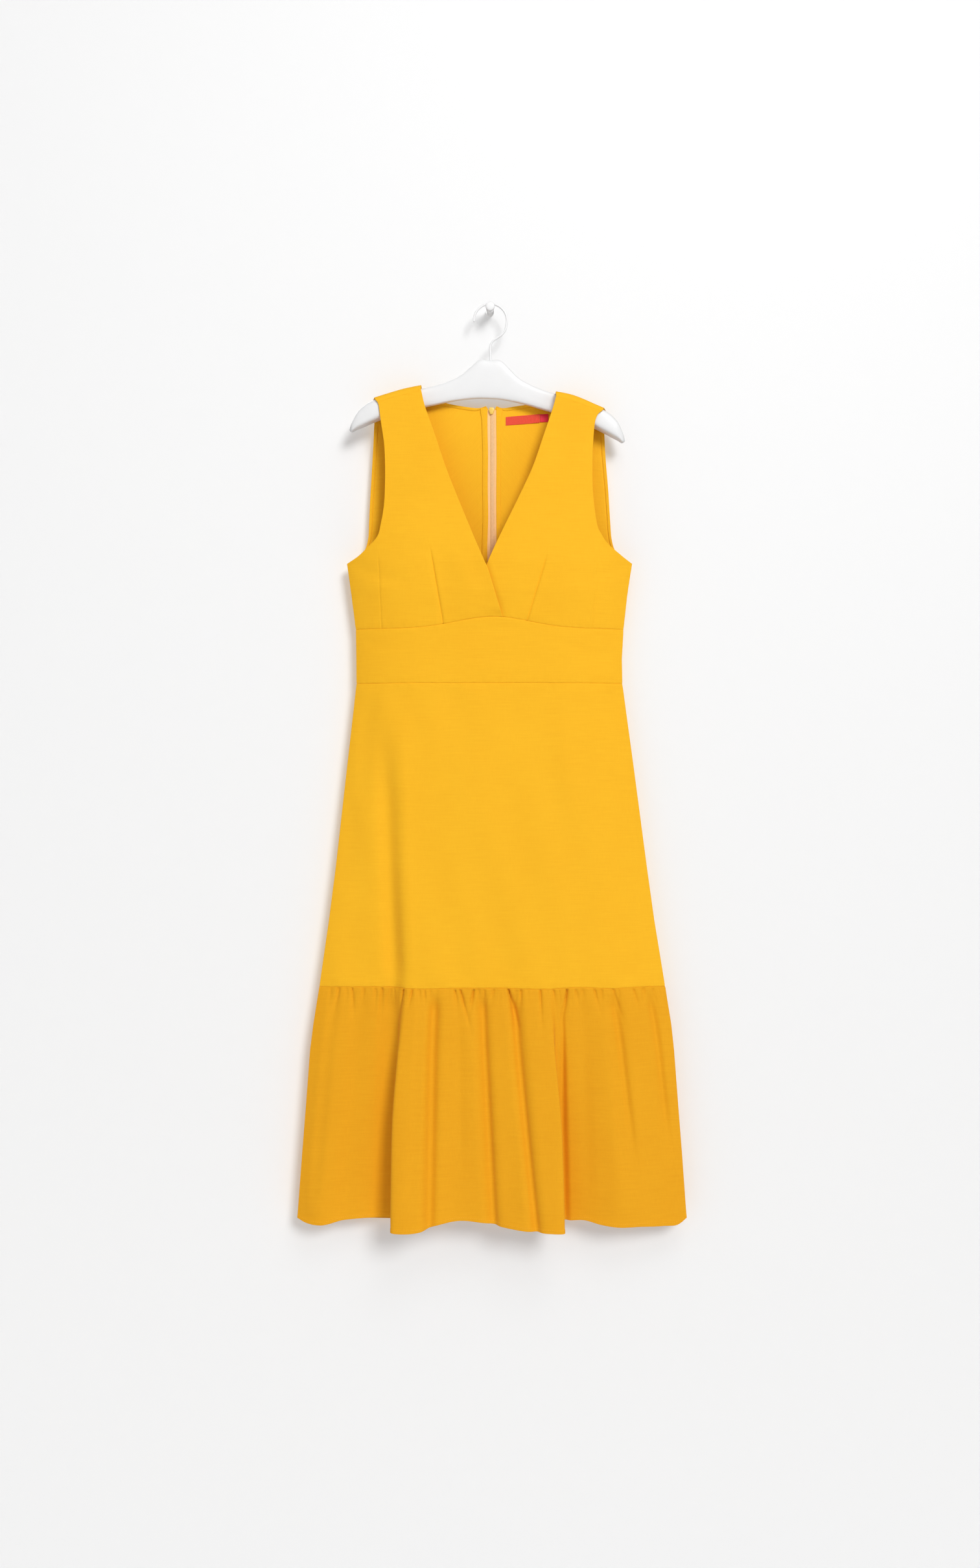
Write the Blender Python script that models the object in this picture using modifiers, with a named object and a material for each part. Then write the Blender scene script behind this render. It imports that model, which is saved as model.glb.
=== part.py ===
"""Sleeveless linen dress on a hanger that hangs from a wall peg.

The dress has a wrapped V neck, a midriff band, an A-line skirt and a gathered hem frill.
+x is the viewer's right, +z is up and the wall is the plane y = 0, with everything in
front of it at negative y. The origin is the centre of the peg's flat back face. Tables
and helpers work in millimetres and count "depth" forwards from the wall; MM turns them
into Blender's metres. Left and right in names are the wearer's.
"""

import math

import bpy
import numpy as np

MM = 0.001

# Cloth
CLOTH = 1.2
GAP = 0.3
LAP = CLOTH + GAP
LAP_START = -75.0
LAP_WIDTH = 45.0
LAP_TOP = -250.0
LAP_DROP = 100.0

# Heights of the level seams
MIDRIFF_TOP = -499.0
MIDRIFF_RISE = 18.0
MIDRIFF_RISE_AT = 5.0
MIDRIFF_RISE_SPREAD = 55.0
MIDRIFF_FOOT = -583.0
FRILL_TOP = -1052.0
BACK_CENTRE = 2.4

# Hanger and hook
HANGER_PIVOT = -86.3
HANGER_TILT = math.radians(2.3)
HANGER_DEPTH = 26.0
HANGER_BOW = 5.0
HANGER_BOW_FROM = 84.0
HANGER_BOW_TO = 165.0
HANGER_SQUARENESS = 4.0
HANGER_RING_POINTS = 14
WIRE_RADIUS = 1.75
HOOK_CENTRE = (0.6, -19.4)
HOOK_RADIUS = 25.6
SOCKET_DEPTH = 14.0

# How square the back panel's fold over the hanger is: 2 is round
SHOULDER_SQUARENESS = 2.6

# Zip
ZIP_TOP = -152.0
ZIP_FOOT = -712.0
TAPE_INNER = 1.5
TAPE_OUTER = 8.0
TAPE_THICK = 1.0
SLIDER_WIDTH = 9.0
SLIDER_HEIGHT = 10.6
SLIDER_THICK = 3.0
SLIDER_HEIGHT_AT = -158.0
LUG_WIDTH = 1.8
LUG_HEIGHT = 5.0
PULL_PIN_DEPTH = 10.6
PULL_PIN_RADIUS = 0.6
PULL_HOLE_RADIUS = 0.85
PULL_LENGTH = 22.0
PULL_WIDTH = 6.0
PULL_THICK = 1.4
PULL_ARM = 1.2

# Back neck tapes that carry no print
LABEL = {"left": 24.5, "right": 77.5, "top": -167.0, "foot": -180.5, "rise": 4.5}
SIZE_TAB = {"left": 78.0, "right": 91.0, "top": -162.8, "foot": -175.2, "rise": 0.5}

# The flattened dress: a row for each height, from the shoulders to the hem.
# Above the underarm the side columns only guide how the cloth rounds.
#        height   left    right   seam   front  back
BODY = (
    (-125.0, -420.0, 420.0, 24.0, 47.5, 15.0),
    (-200.0, -360.0, 360.0, 24.0, 47.5, 15.0),
    (-300.0, -270.0, 269.0, 24.0, 48.0, 12.0),
    (-360.0, -234.0, 233.0, 24.0, 52.0, 10.5),
    (-397.0, -221.5, 220.2, 24.0, 54.0, 9.5),
    (-440.0, -215.6, 213.6, 24.0, 53.0, 9.0),
    (-499.0, -208.0, 207.0, 23.0, 47.0, 8.5),
    (-545.0, -207.2, 204.4, 23.0, 46.0, 8.0),
    (-583.0, -207.0, 205.2, 23.0, 46.0, 8.0),
    (-628.0, -212.0, 211.2, 23.0, 46.5, 8.0),
    (-709.0, -221.2, 222.2, 24.0, 49.0, 7.5),
    (-870.0, -239.3, 243.3, 26.0, 53.0, 7.0),
    (-950.0, -249.4, 254.4, 27.0, 55.0, 7.0),
    (-1052.0, -264.2, 271.0, 28.0, 58.0, 7.0),
    (-1111.0, -273.5, 280.5, 28.5, 59.0, 7.5),
    (-1151.0, -278.5, 284.8, 29.0, 60.0, 8.0),
    (-1232.0, -284.4, 290.8, 30.0, 61.0, 8.5),
    (-1312.0, -290.6, 297.0, 31.0, 62.0, 9.0),
    (-1425.0, -299.0, 305.0, 32.0, 62.0, 9.0),
)

# How many rows of faces each block of a bodice panel has, and how many columns
FRONT_ROWS = (14, 5)
FRONT_COLUMNS = 10
BACK_ROWS = (7, 7, 4)
BACK_COLUMNS = 9
WRAP_ROWS = 9

# Bodice panels: each row joins a point of the side or armhole to a point of the neck or
# centre. A block of rows is one smooth run; blocks meet at a corner of the outline.
#        side x   side z   inner x  inner z
FRONT_RIGHT = (
    (
        (-172.0, -150.2, -106.0, -132.3),
        (-168.0, -181.0, -99.5, -159.0),
        (-163.0, -216.0, -84.0, -203.0),
        (-161.5, -257.0, -65.0, -258.9),
        (-163.0, -305.0, -39.0, -323.8),
        (-168.0, -337.0, -22.0, -365.0),
        (-174.0, -358.0, -13.0, -386.0),
        (-190.7, -375.1, -8.0, -397.5),
        (-204.0, -386.7, -5.0, -403.5),
        (-221.5, -397.0, -2.0, -411.0),
    ),
    (
        (-221.5, -397.0, -2.0, -411.0),
        (-215.0, -444.0, 9.0, -448.0),
        (-208.0, -499.0, 19.6, -481.5),
    ),
)
FRONT_LEFT = (
    (
        (168.5, -163.8, 101.5, -142.0),
        (162.0, -180.0, 96.2, -161.0),
        (159.2, -206.0, 82.0, -203.0),
        (157.6, -241.0, 65.5, -250.5),
        (158.5, -289.0, 44.5, -296.0),
        (164.5, -337.0, 21.5, -343.0),
        (172.7, -355.7, 10.0, -367.0),
        (182.6, -369.0, 4.0, -380.0),
        (203.6, -385.7, -3.0, -396.0),
        (220.2, -397.0, -8.0, -407.0),
    ),
    (
        (220.2, -397.0, -8.0, -407.0),
        (213.0, -444.0, -17.0, -444.0),
        (207.0, -499.0, -26.0, -484.0),
    ),
)
BACK_RIGHT = (
    (
        (-177.0, -151.6, -106.0, -132.3),
        (-180.0, -175.0, -88.0, -138.5),
        (-182.0, -215.0, -64.7, -146.1),
        (-184.0, -250.0, -38.0, -151.0),
        (-186.0, -283.0, -18.5, -153.0),
        (-187.5, -310.0, -6.0, -149.7),
    ),
    (
        (-187.5, -310.0, -6.0, -149.7),
        (-188.4, -332.0, 0.6, -163.0),
        (-189.6, -356.0, BACK_CENTRE, -180.0),
        (-194.5, -374.0, BACK_CENTRE, -235.0),
        (-204.0, -386.7, BACK_CENTRE, -295.0),
        (-221.5, -397.0, BACK_CENTRE, -360.0),
    ),
    (
        (-221.5, -397.0, BACK_CENTRE, -360.0),
        (-215.0, -444.0, BACK_CENTRE, -428.0),
        (-208.0, -499.0, BACK_CENTRE, -499.0),
    ),
)
BACK_LEFT = (
    (
        (176.0, -166.2, 101.5, -142.0),
        (178.0, -190.0, 82.0, -144.5),
        (179.5, -222.0, 62.0, -147.0),
        (182.0, -254.0, 38.0, -150.5),
        (184.4, -283.0, 20.0, -153.0),
        (186.0, -310.0, 10.0, -149.7),
    ),
    (
        (186.0, -310.0, 10.0, -149.7),
        (187.4, -332.0, 4.2, -163.0),
        (189.2, -356.0, BACK_CENTRE, -180.0),
        (194.0, -374.0, BACK_CENTRE, -235.0),
        (203.6, -385.7, BACK_CENTRE, -295.0),
        (220.2, -397.0, BACK_CENTRE, -360.0),
    ),
    (
        (220.2, -397.0, BACK_CENTRE, -360.0),
        (213.0, -444.0, BACK_CENTRE, -428.0),
        (207.0, -499.0, BACK_CENTRE, -499.0),
    ),
)

# Crest of the dress over the hanger, from the viewer's left to the viewer's right
#       x       height
SHOULDER_CREST = (
    (-178.5, -141.0),
    (-157.8, -134.8),
    (-133.8, -127.8),
    (-106.0, -122.3),
    (101.5, -131.8),
    (125.6, -136.6),
    (161.3, -151.2),
    (178.6, -159.6),
)

# Darts of the front, as shares of the panel's width from its side to its inner edge
#             tip     seam    tip height
DARTS_RIGHT = ((0.235, 0.181, -384.0), (0.600, 0.605, -374.0))
DARTS_LEFT = ((0.245, 0.210, -384.0), (0.640, 0.670, -384.0))
DART_GROOVE = 0.7
DART_GROOVE_WIDTH = 4.0
FRONT_RIGHT_WIDTH = 220.0
FRONT_LEFT_WIDTH = 230.0

# The soft fold down the front of the skirt, whose viewer's-left side lies further back
SKIRT_FOLD_TOP = (-600.0, -152.0)
SKIRT_FOLD_FOOT = (FRILL_TOP, -134.0)
SKIRT_FOLD_DROP = 13.0
SKIRT_FOLD_WIDTH = 9.0

# Front frill at the hem, outside the raised middle block of cloth
#        share   depth  height
HEM_SIDES = (
    (0.000, 32.0, -1410.0),
    (0.020, 37.0, -1415.5),
    (0.058, 44.0, -1419.0),
    (0.118, 40.0, -1412.0),
    (0.178, 37.0, -1409.0),
    (0.240, 33.0, -1409.5),
    (0.450, 36.0, -1410.0),
    (0.690, 43.0, -1412.0),
    (0.735, 47.0, -1410.0),
    (0.778, 52.0, -1416.0),
    (0.818, 56.0, -1419.0),
    (0.878, 52.0, -1419.0),
    (0.938, 43.0, -1420.0),
    (0.980, 37.0, -1418.0),
    (1.000, 32.0, -1410.0),
)
# The raised middle block, which stands in front of both neighbours
HEM_BLOCK = (
    (0.000, 82.0, -1420.0),
    (0.255, 84.0, -1421.0),
    (0.285, 86.0, -1421.5),
    (0.320, 84.0, -1419.0),
    (0.368, 74.0, -1410.0),
    (0.418, 68.0, -1405.5),
    (0.468, 69.0, -1408.0),
    (0.518, 73.0, -1413.0),
    (0.578, 81.0, -1418.0),
    (0.655, 87.0, -1421.5),
    (1.000, 84.0, -1421.0),
)
HEM_BACK = (
    (0.000, 32.0, -1410.0),
    (0.045, 22.0, -1415.0),
    (0.110, 8.0, -1418.0),
    (0.190, 19.0, -1414.0),
    (0.270, 6.5, -1418.0),
    (0.350, 17.0, -1413.0),
    (0.430, 7.0, -1416.0),
    (0.520, 19.0, -1413.0),
    (0.600, 6.5, -1417.0),
    (0.690, 20.0, -1414.0),
    (0.770, 7.5, -1418.0),
    (0.855, 18.0, -1415.0),
    (0.925, 9.0, -1418.0),
    (0.965, 22.0, -1416.0),
    (1.000, 32.0, -1410.0),
)
# Edges of the raised block: share at the seam and at the hem, and which way it faces
BLOCK_LEFT_EDGE = (0.2410, 0.2550)
BLOCK_RIGHT_EDGE = (0.6690, 0.6720)
EDGE_WIDTH = 7.0
EDGE_OVERHANG = 12.5

# Long troughs of the frill: share at the seam and the hem, how deep, how wide, how far down
#                   seam   hem    deep  wide  reach
FRONT_TROUGHS = (
    (0.337, 0.341, 8.0, 9.0, 1.0),
    (0.467, 0.502, 8.0, 10.0, 1.0),
    (0.559, 0.612, 7.0, 9.0, 1.0),
    (0.843, 0.858, 5.0, 13.0, 0.6),
    (0.950, 0.962, 3.0, 9.0, 0.5),
)
BACK_TROUGHS = (
    (0.150, 0.150, 3.0, 12.0, 0.8),
    (0.395, 0.390, 3.0, 11.0, 0.9),
    (0.560, 0.565, 3.0, 12.0, 0.9),
    (0.815, 0.810, 3.0, 12.0, 0.8),
)

# Short gathers under the seam, as shares of its width
FRONT_GATHERS = (
    0.034, 0.054, 0.081, 0.133, 0.165, 0.184, 0.210, 0.238, 0.268, 0.295, 0.306, 0.330,
    0.379, 0.398, 0.426, 0.441, 0.456, 0.482, 0.497, 0.526, 0.556, 0.582, 0.600, 0.636,
    0.668, 0.710, 0.736, 0.766, 0.792, 0.805, 0.843, 0.888, 0.905, 0.950,
)
BACK_GATHER_COUNT = 34
GATHER_DEPTH = 2.6
GATHER_WIDTH = 3.4
GATHER_SHORTEST = 18.0
GATHER_LONGEST = 62.0
GOLDEN_SHARE = 0.618034

# Hanger: half of it, from the neck to the tip, before it is tilted
#        reach   top    foot    thick
HANGER = (
    (0.0, 4.5, -54.9, 12.0),
    (17.0, 4.5, -55.3, 12.0),
    (30.0, -7.0, -56.8, 12.0),
    (43.5, -19.6, -58.9, 12.0),
    (63.7, -30.8, -63.0, 12.0),
    (84.0, -38.4, -68.3, 12.5),
    (99.5, -42.8, -72.2, 13.5),
    (131.5, -49.6, -82.3, 19.0),
    (156.0, -57.2, -91.0, 26.0),
    (166.0, -61.2, -94.6, 28.0),
    (180.0, -68.2, -101.0, 28.0),
    (192.0, -76.0, -107.0, 26.0),
    (202.5, -87.5, -112.0, 22.0),
    (209.5, -101.5, -115.8, 15.0),
    (213.5, -109.5, -115.5, 7.0),
)

# Peg: a row for each step from the wall to the front of its knob
#       depth  radius
PEG = (
    (0.0, 6.0),
    (18.0, 6.0),
    (21.5, 4.2),
    (30.0, 4.2),
    (31.2, 6.4),
    (33.0, 7.2),
    (36.0, 7.2),
    (37.5, 6.2),
    (38.0, 4.6),
)
PEG_STEPS = 24

# Hook wire from its foot in the hanger to where its round part starts
#       x      z
HOOK_STEM = (
    (0.8, -92.0),
    (0.6, -74.0),
    (0.8, -58.5),
    (4.0, -52.0),
    (11.5, -46.4),
    (18.6, -41.2),
    (23.4, -34.6),
)
HOOK_ARC_FROM = -14.0
HOOK_ARC_TO = 186.0
HOOK_ARC_STEPS = 18

COLOURS = {
    "linen": ((0.93, 0.50, 0.03), 0.85),
    "zip_tape": ((0.92, 0.54, 0.19), 0.8),
    "zip_metal": ((0.90, 0.60, 0.12), 0.4),
    "label_orange": ((0.80, 0.06, 0.02), 0.7),
    "label_red": ((0.62, 0.01, 0.05), 0.7),
    "hanger_white": ((0.88, 0.88, 0.88), 0.45),
    "hook_white": ((0.86, 0.86, 0.86), 0.4),
    "peg_white": ((0.84, 0.84, 0.84), 0.4),
}


def smooth_through(knots, values, at):
    """A smooth curve through the knots: a cubic between each two, level with their mean slope."""
    knots = np.asarray(knots, float)
    values = np.asarray(values, float)
    slopes = np.gradient(values, knots)
    at = np.clip(np.asarray(at, float), knots[0], knots[-1])
    span = np.clip(np.searchsorted(knots, at, side="right") - 1, 0, len(knots) - 2)
    width = knots[span + 1] - knots[span]
    t = (at - knots[span]) / width
    start = values[span] * (2 * t**3 - 3 * t**2 + 1) + values[span + 1] * (3 * t**2 - 2 * t**3)
    return start + width * (
        slopes[span] * (t**3 - 2 * t**2 + t) + slopes[span + 1] * (t**3 - t**2)
    )


def ease(x):
    """0 below 0, 1 above 1 and a soft S between."""
    x = np.clip(x, 0.0, 1.0)
    return x * x * (3 - 2 * x)


def swing(x):
    """A soft step from 0 to 1 around x = 0."""
    return 0.5 * (1 + np.tanh(1.5 * x))


def body_column(column, z):
    """A column of the BODY table at each height."""
    table = np.array(BODY)[::-1]
    return np.interp(z, table[:, 0], table[:, column])


def left_edge(z):
    return body_column(1, z)


def right_edge(z):
    return body_column(2, z)


def roundness(x, z):
    """1 over the middle of the flattened dress, falling to 0 at its side seams."""
    middle = (left_edge(z) + right_edge(z)) / 2
    half = (right_edge(z) - left_edge(z)) / 2
    return np.clip(1 - ((x - middle) / half) ** 4, 0.0, 1.0)


def skirt_fold(x, z):
    """How far the skirt lies back, to the viewer's left of its soft fold."""
    down = (z - SKIRT_FOLD_TOP[0]) / (SKIRT_FOLD_FOOT[0] - SKIRT_FOLD_TOP[0])
    fold_x = SKIRT_FOLD_TOP[1] + (SKIRT_FOLD_FOOT[1] - SKIRT_FOLD_TOP[1]) * np.clip(down, 0, 1)
    return SKIRT_FOLD_DROP * ease(down) * swing((fold_x - x) / SKIRT_FOLD_WIDTH)


def front_depth(x, z):
    """Inner face of the front: seam depth plus the rounded rise, less the skirt's fold."""
    seam = body_column(3, z) + GAP / 2
    rise = body_column(4, z) - seam - skirt_fold(x, z)
    return seam + rise * roundness(x, z)


def back_depth(x, z):
    """Inner face of the back, which falls from the seam's depth towards the wall."""
    seam = body_column(3, z) - GAP / 2
    return seam - (seam - body_column(5, z)) * roundness(x, z)


def midriff_top(x):
    """The seam under the bust, which rises in a low bell at the middle of the front."""
    bell = np.exp(-(((x - MIDRIFF_RISE_AT) / MIDRIFF_RISE_SPREAD) ** 2) / 2)
    return MIDRIFF_TOP + MIDRIFF_RISE * bell


def grid_of(x, depth, z):
    """Rows by columns of points, in metres, from arrays in millimetres."""
    return np.stack([x, -depth, z], axis=-1) * MM


def add_object(name, mesh, slot):
    made = bpy.data.objects.new(name, mesh)
    made.data.materials.append(material(slot))
    PARTS.objects.link(made)
    return made


def material(slot):
    """The slot's Principled material, made once."""
    if slot in bpy.data.materials:
        return bpy.data.materials[slot]
    made = bpy.data.materials.new(slot)
    made.use_nodes = True
    colour, roughness = COLOURS[slot]
    shader = made.node_tree.nodes["Principled BSDF"]
    shader.inputs["Base Color"].default_value = (*colour, 1.0)
    shader.inputs["Roughness"].default_value = roughness
    shader.inputs["Metallic"].default_value = 0.0
    return made


def add_wall(name, points, slot, thick=CLOTH, faces_front=True):
    """A wall of cloth: the grid is its inner face, and the thickness goes outwards.

    Rows run down and columns run to the viewer's right, so a wall that faces the front
    grows towards the viewer and any other grows towards the wall of the room.
    """
    rows, columns = points.shape[:2]
    corner = np.arange(rows * columns).reshape(rows, columns)
    quads = np.stack(
        [corner[:-1, :-1], corner[1:, :-1], corner[1:, 1:], corner[:-1, 1:]], axis=-1
    ).reshape(-1, 4)
    if not faces_front:
        quads = quads[:, ::-1]
    mesh = bpy.data.meshes.new(name)
    mesh.from_pydata(points.reshape(-1, 3).tolist(), [], quads.tolist())
    mesh.shade_smooth()
    made = add_object(name, mesh, slot)
    wall = made.modifiers.new("wall", "SOLIDIFY")
    wall.thickness = thick * MM
    wall.offset = 1.0
    return made


def panel_rows(blocks, counts):
    """Side and inner points of each row of a bodice panel, smooth within each block."""
    runs = []
    for block, count in zip(blocks, counts):
        table = np.array(block)
        knots = np.arange(len(table))
        at = np.linspace(0, len(table) - 1, count + 1)
        run = np.stack([smooth_through(knots, table[:, k], at) for k in range(4)], axis=-1)
        runs.append(run if not runs else run[1:])
    return np.concatenate(runs)


def panel_grid(blocks, counts, shares, seam_line):
    """A bodice panel: straight rows between its two edges, with its foot on the seam.

    shares is rows by columns, each point's share of the way from side to inner edge.
    """
    rows = panel_rows(blocks, counts)
    ends = rows[:, None, :]
    x = ends[..., 0] + (ends[..., 2] - ends[..., 0]) * shares
    z = ends[..., 1] + (ends[..., 3] - ends[..., 1]) * shares
    lower = len(rows) - 1 - counts[-1]
    weight = ease((np.arange(len(rows)) - lower) / counts[-1])[:, None]
    z = z + (seam_line(x) + GAP / 2 - z[-1]) * weight
    return x, z


def dart_shares(darts, blocks, counts, columns):
    """Column shares that lean so that two columns run down the two darts."""
    rows = panel_rows(blocks, counts)
    down = ease((rows[:, 1] - darts[0][2]) / (MIDRIFF_TOP - darts[0][2]))[:, None]
    (outer_tip, outer_seam, _), (inner_tip, inner_seam, _) = darts
    outer = outer_tip + (outer_seam - outer_tip) * down
    inner = inner_tip + (inner_seam - inner_tip) * down
    plain = np.linspace(0, 1, columns + 1)[None, :]
    marks = (0.0, 0.2, 0.6, 1.0)
    places = np.concatenate([0 * outer, outer, inner, 0 * inner + 1], axis=1)
    return np.stack([np.interp(plain[0], marks, row) for row in places])


def dart_grooves(shares, darts, z, width):
    """How far the cloth dips along each dart, deepest at the seam and gone at its tip."""
    dip = np.zeros_like(z)
    for tip, seam, tip_height in darts:
        down = (z - tip_height) / (MIDRIFF_TOP - tip_height)
        centre = tip + (seam - tip) * np.clip(down, 0, 1)
        across = (shares - centre) * width / DART_GROOVE_WIDTH
        dip = dip + DART_GROOVE * ease(3 * down) * np.exp(-across**2)
    return dip


def lap_over(x, z):
    """How far the wearer's right front rises as it passes over the left one."""
    return LAP * ease((x - LAP_START) / LAP_WIDTH) * ease((LAP_TOP - z) / LAP_DROP)


def add_bodice_fronts():
    shares = dart_shares(DARTS_RIGHT, FRONT_RIGHT, FRONT_ROWS, FRONT_COLUMNS)
    x, z = panel_grid(FRONT_RIGHT, FRONT_ROWS, shares, midriff_top)
    grooves = dart_grooves(shares, DARTS_RIGHT, z, FRONT_RIGHT_WIDTH)
    depth = front_depth(x, z) + lap_over(x, z) - grooves
    add_wall("bodice_front_right", grid_of(x, depth, z), "linen")
    shares = dart_shares(DARTS_LEFT, FRONT_LEFT, FRONT_ROWS, FRONT_COLUMNS)
    x, z = panel_grid(FRONT_LEFT, FRONT_ROWS, shares, midriff_top)
    depth = front_depth(x, z) - dart_grooves(shares, DARTS_LEFT, z, FRONT_LEFT_WIDTH)
    add_wall("bodice_front_left", grid_of(x[:, ::-1], depth[:, ::-1], z[:, ::-1]), "linen")


def shoulder_wrap(x, z, front_x, front_z, steps):
    """Rows that carry the top of a back panel over the hanger to the shoulder seam.

    Each is a step round half a rounded square, from the top of the front panel up over
    the crest and down to the first row of the back panel.
    """
    crest = np.array(SHOULDER_CREST)
    angle = np.linspace(0, math.pi, steps + 1)[:-1, None]
    across = np.sign(np.cos(angle)) * np.abs(np.cos(angle)) ** (2 / SHOULDER_SQUARENESS)
    rise = np.sin(angle) ** (2 / SHOULDER_SQUARENESS)
    forward = (1 + across) / 2
    back = back_depth(x, z)
    depth = back + (front_depth(front_x, front_z) - back) * forward
    wrap_x = x + (front_x - x) * forward
    foot = z + (front_z + GAP - z) * forward
    top = np.interp(wrap_x, crest[:, 0], crest[:, 1]) - CLOTH
    return wrap_x, depth, foot + (top - foot) * rise


def add_bodice_backs():
    shares = np.linspace(0, 1, BACK_COLUMNS + 1)[None, :]
    for name, blocks, front_blocks, side in (
        ("bodice_back_right", BACK_RIGHT, FRONT_RIGHT, 1),
        ("bodice_back_left", BACK_LEFT, FRONT_LEFT, -1),
    ):
        x, z = panel_grid(blocks, BACK_ROWS, shares, lambda x: MIDRIFF_TOP + 0 * x)
        x = x - side * GAP / 2 * shares**8
        depth = back_depth(x, z)
        side_x, side_z, neck_x, neck_z = front_blocks[0][0]
        front_x = side_x + (neck_x - side_x) * shares
        front_z = side_z + (neck_z - side_z) * shares
        wrap_x, wrap_depth, wrap_z = shoulder_wrap(x[:1], z[:1], front_x, front_z, WRAP_ROWS)
        x = np.concatenate([wrap_x, x])
        depth = np.concatenate([wrap_depth, depth])
        z = np.concatenate([wrap_z, z])
        points = grid_of(x, depth, z)
        if side < 0:
            points = points[:, ::-1]
        add_wall(name, points, "linen", faces_front=False)


def band_grid(top, foot, rows, columns, left=None, right=None):
    """A grid between two heights, from one upright edge to the other."""
    down = np.linspace(0, 1, rows + 1)[:, None]
    across = np.linspace(0, 1, columns + 1)[None, :]
    z = top + (foot - top) * down + 0 * across
    start = left_edge(z) if left is None else left
    end = right_edge(z) if right is None else right
    return start + (end - start) * across, z


def add_midriff():
    x, z = band_grid(MIDRIFF_TOP, MIDRIFF_FOOT + GAP / 2, 3, 20)
    down = np.linspace(0, 1, 4)[:, None]
    z = z + (midriff_top(x) - GAP / 2 - MIDRIFF_TOP) * (1 - down)
    add_wall("midriff_front", grid_of(x, front_depth(x, z), z), "linen")
    top = MIDRIFF_TOP - GAP / 2
    foot = MIDRIFF_FOOT + GAP / 2
    x, z = band_grid(top, foot, 3, 9, right=BACK_CENTRE - GAP / 2)
    add_wall("midriff_back_right", grid_of(x, back_depth(x, z), z), "linen", faces_front=False)
    x, z = band_grid(top, foot, 3, 9, left=BACK_CENTRE + GAP / 2)
    add_wall("midriff_back_left", grid_of(x, back_depth(x, z), z), "linen", faces_front=False)


def skirt_columns(z):
    """Column shares that crowd round the skirt's fold."""
    fold_share = (SKIRT_FOLD_FOOT[1] - left_edge(z[0])) / (right_edge(z[0]) - left_edge(z[0]))
    near = fold_share + np.array([-0.05, -0.03, -0.012, 0.005, 0.025, 0.05])
    return np.unique(np.concatenate([np.linspace(0, 0.15, 4), near, np.linspace(0.36, 1, 12)]))


def add_skirt():
    top = MIDRIFF_FOOT - GAP / 2
    foot = FRILL_TOP + GAP / 2
    z = np.linspace(top, foot, 10)[:, None]
    shares = skirt_columns(z)[None, :]
    x = left_edge(z) + (right_edge(z) - left_edge(z)) * shares
    z = z + 0 * shares
    add_wall("skirt_front", grid_of(x, front_depth(x, z), z), "linen")
    x, z = band_grid(top, foot, 9, 9, right=BACK_CENTRE - GAP / 2)
    add_wall("skirt_back_right", grid_of(x, back_depth(x, z), z), "linen", faces_front=False)
    x, z = band_grid(top, foot, 9, 9, left=BACK_CENTRE + GAP / 2)
    add_wall("skirt_back_left", grid_of(x, back_depth(x, z), z), "linen", faces_front=False)


def back_gathers():
    """Gathers of the back frill, evenly spread and then nudged by a golden-share offset."""
    order = np.arange(BACK_GATHER_COUNT)
    nudge = (order * GOLDEN_SHARE) % 1.0 - 0.5
    return (order + 0.5 + 0.5 * nudge) / BACK_GATHER_COUNT


def gather_dips(share, down_mm, gathers):
    """Short dips under the seam: narrow bells that open and fade within their own length."""
    dip = np.zeros(np.broadcast(share, down_mm).shape)
    for order, place in enumerate(gathers):
        length = GATHER_SHORTEST + (GATHER_LONGEST - GATHER_SHORTEST) * (
            (order * GOLDEN_SHARE + 0.3) % 1.0
        )
        across = (share - place) * (right_edge(FRILL_TOP) - left_edge(FRILL_TOP)) / GATHER_WIDTH
        along = ease(down_mm / 6.0) * np.exp(-((down_mm / length) ** 2))
        dip = dip + GATHER_DEPTH * np.exp(-across**2) * along
    return dip


def trough_dips(share, down, troughs, width):
    """Long soft troughs, each drifting in a line from its place at the seam to the hem."""
    dip = np.zeros(np.broadcast(share, down).shape)
    for seam, hem, deep, wide, reach in troughs:
        across = (share - (seam + (hem - seam) * down)) * width / wide
        along = ease(down / 0.15) * (1 - ease((down - reach) / 0.3))
        dip = dip + deep * np.exp(-(across**2)) * along
    return dip


def hem_line(table, share):
    """Depth and height of the hem at each share of its width."""
    rows = np.array(table)
    depth = smooth_through(rows[:, 0], rows[:, 1], share)
    return depth, smooth_through(rows[:, 0], rows[:, 2], share)


def frill_columns(gathers, edges):
    """Column shares: one in each gather, one between each two, and a few at each edge."""
    places = np.sort(np.asarray(gathers))
    between = (places[:-1] + places[1:]) / 2
    steps = (-0.03, -0.02, -0.01, 0, 0.01, 0.02, 0.03)
    crowd = [edge + step for edge in edges for step in steps]
    edges = np.array(edges).reshape(1, -1)
    near_edge = (abs(places[:, None] - edges) < 0.035).any(axis=1)
    mid_edge = (abs(between[:, None] - edges) < 0.035).any(axis=1)
    ends = [0.0, 0.012, 0.988, 1.0]
    found = np.concatenate([places[~near_edge], between[~mid_edge], crowd, ends])
    return np.sort(found)


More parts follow.
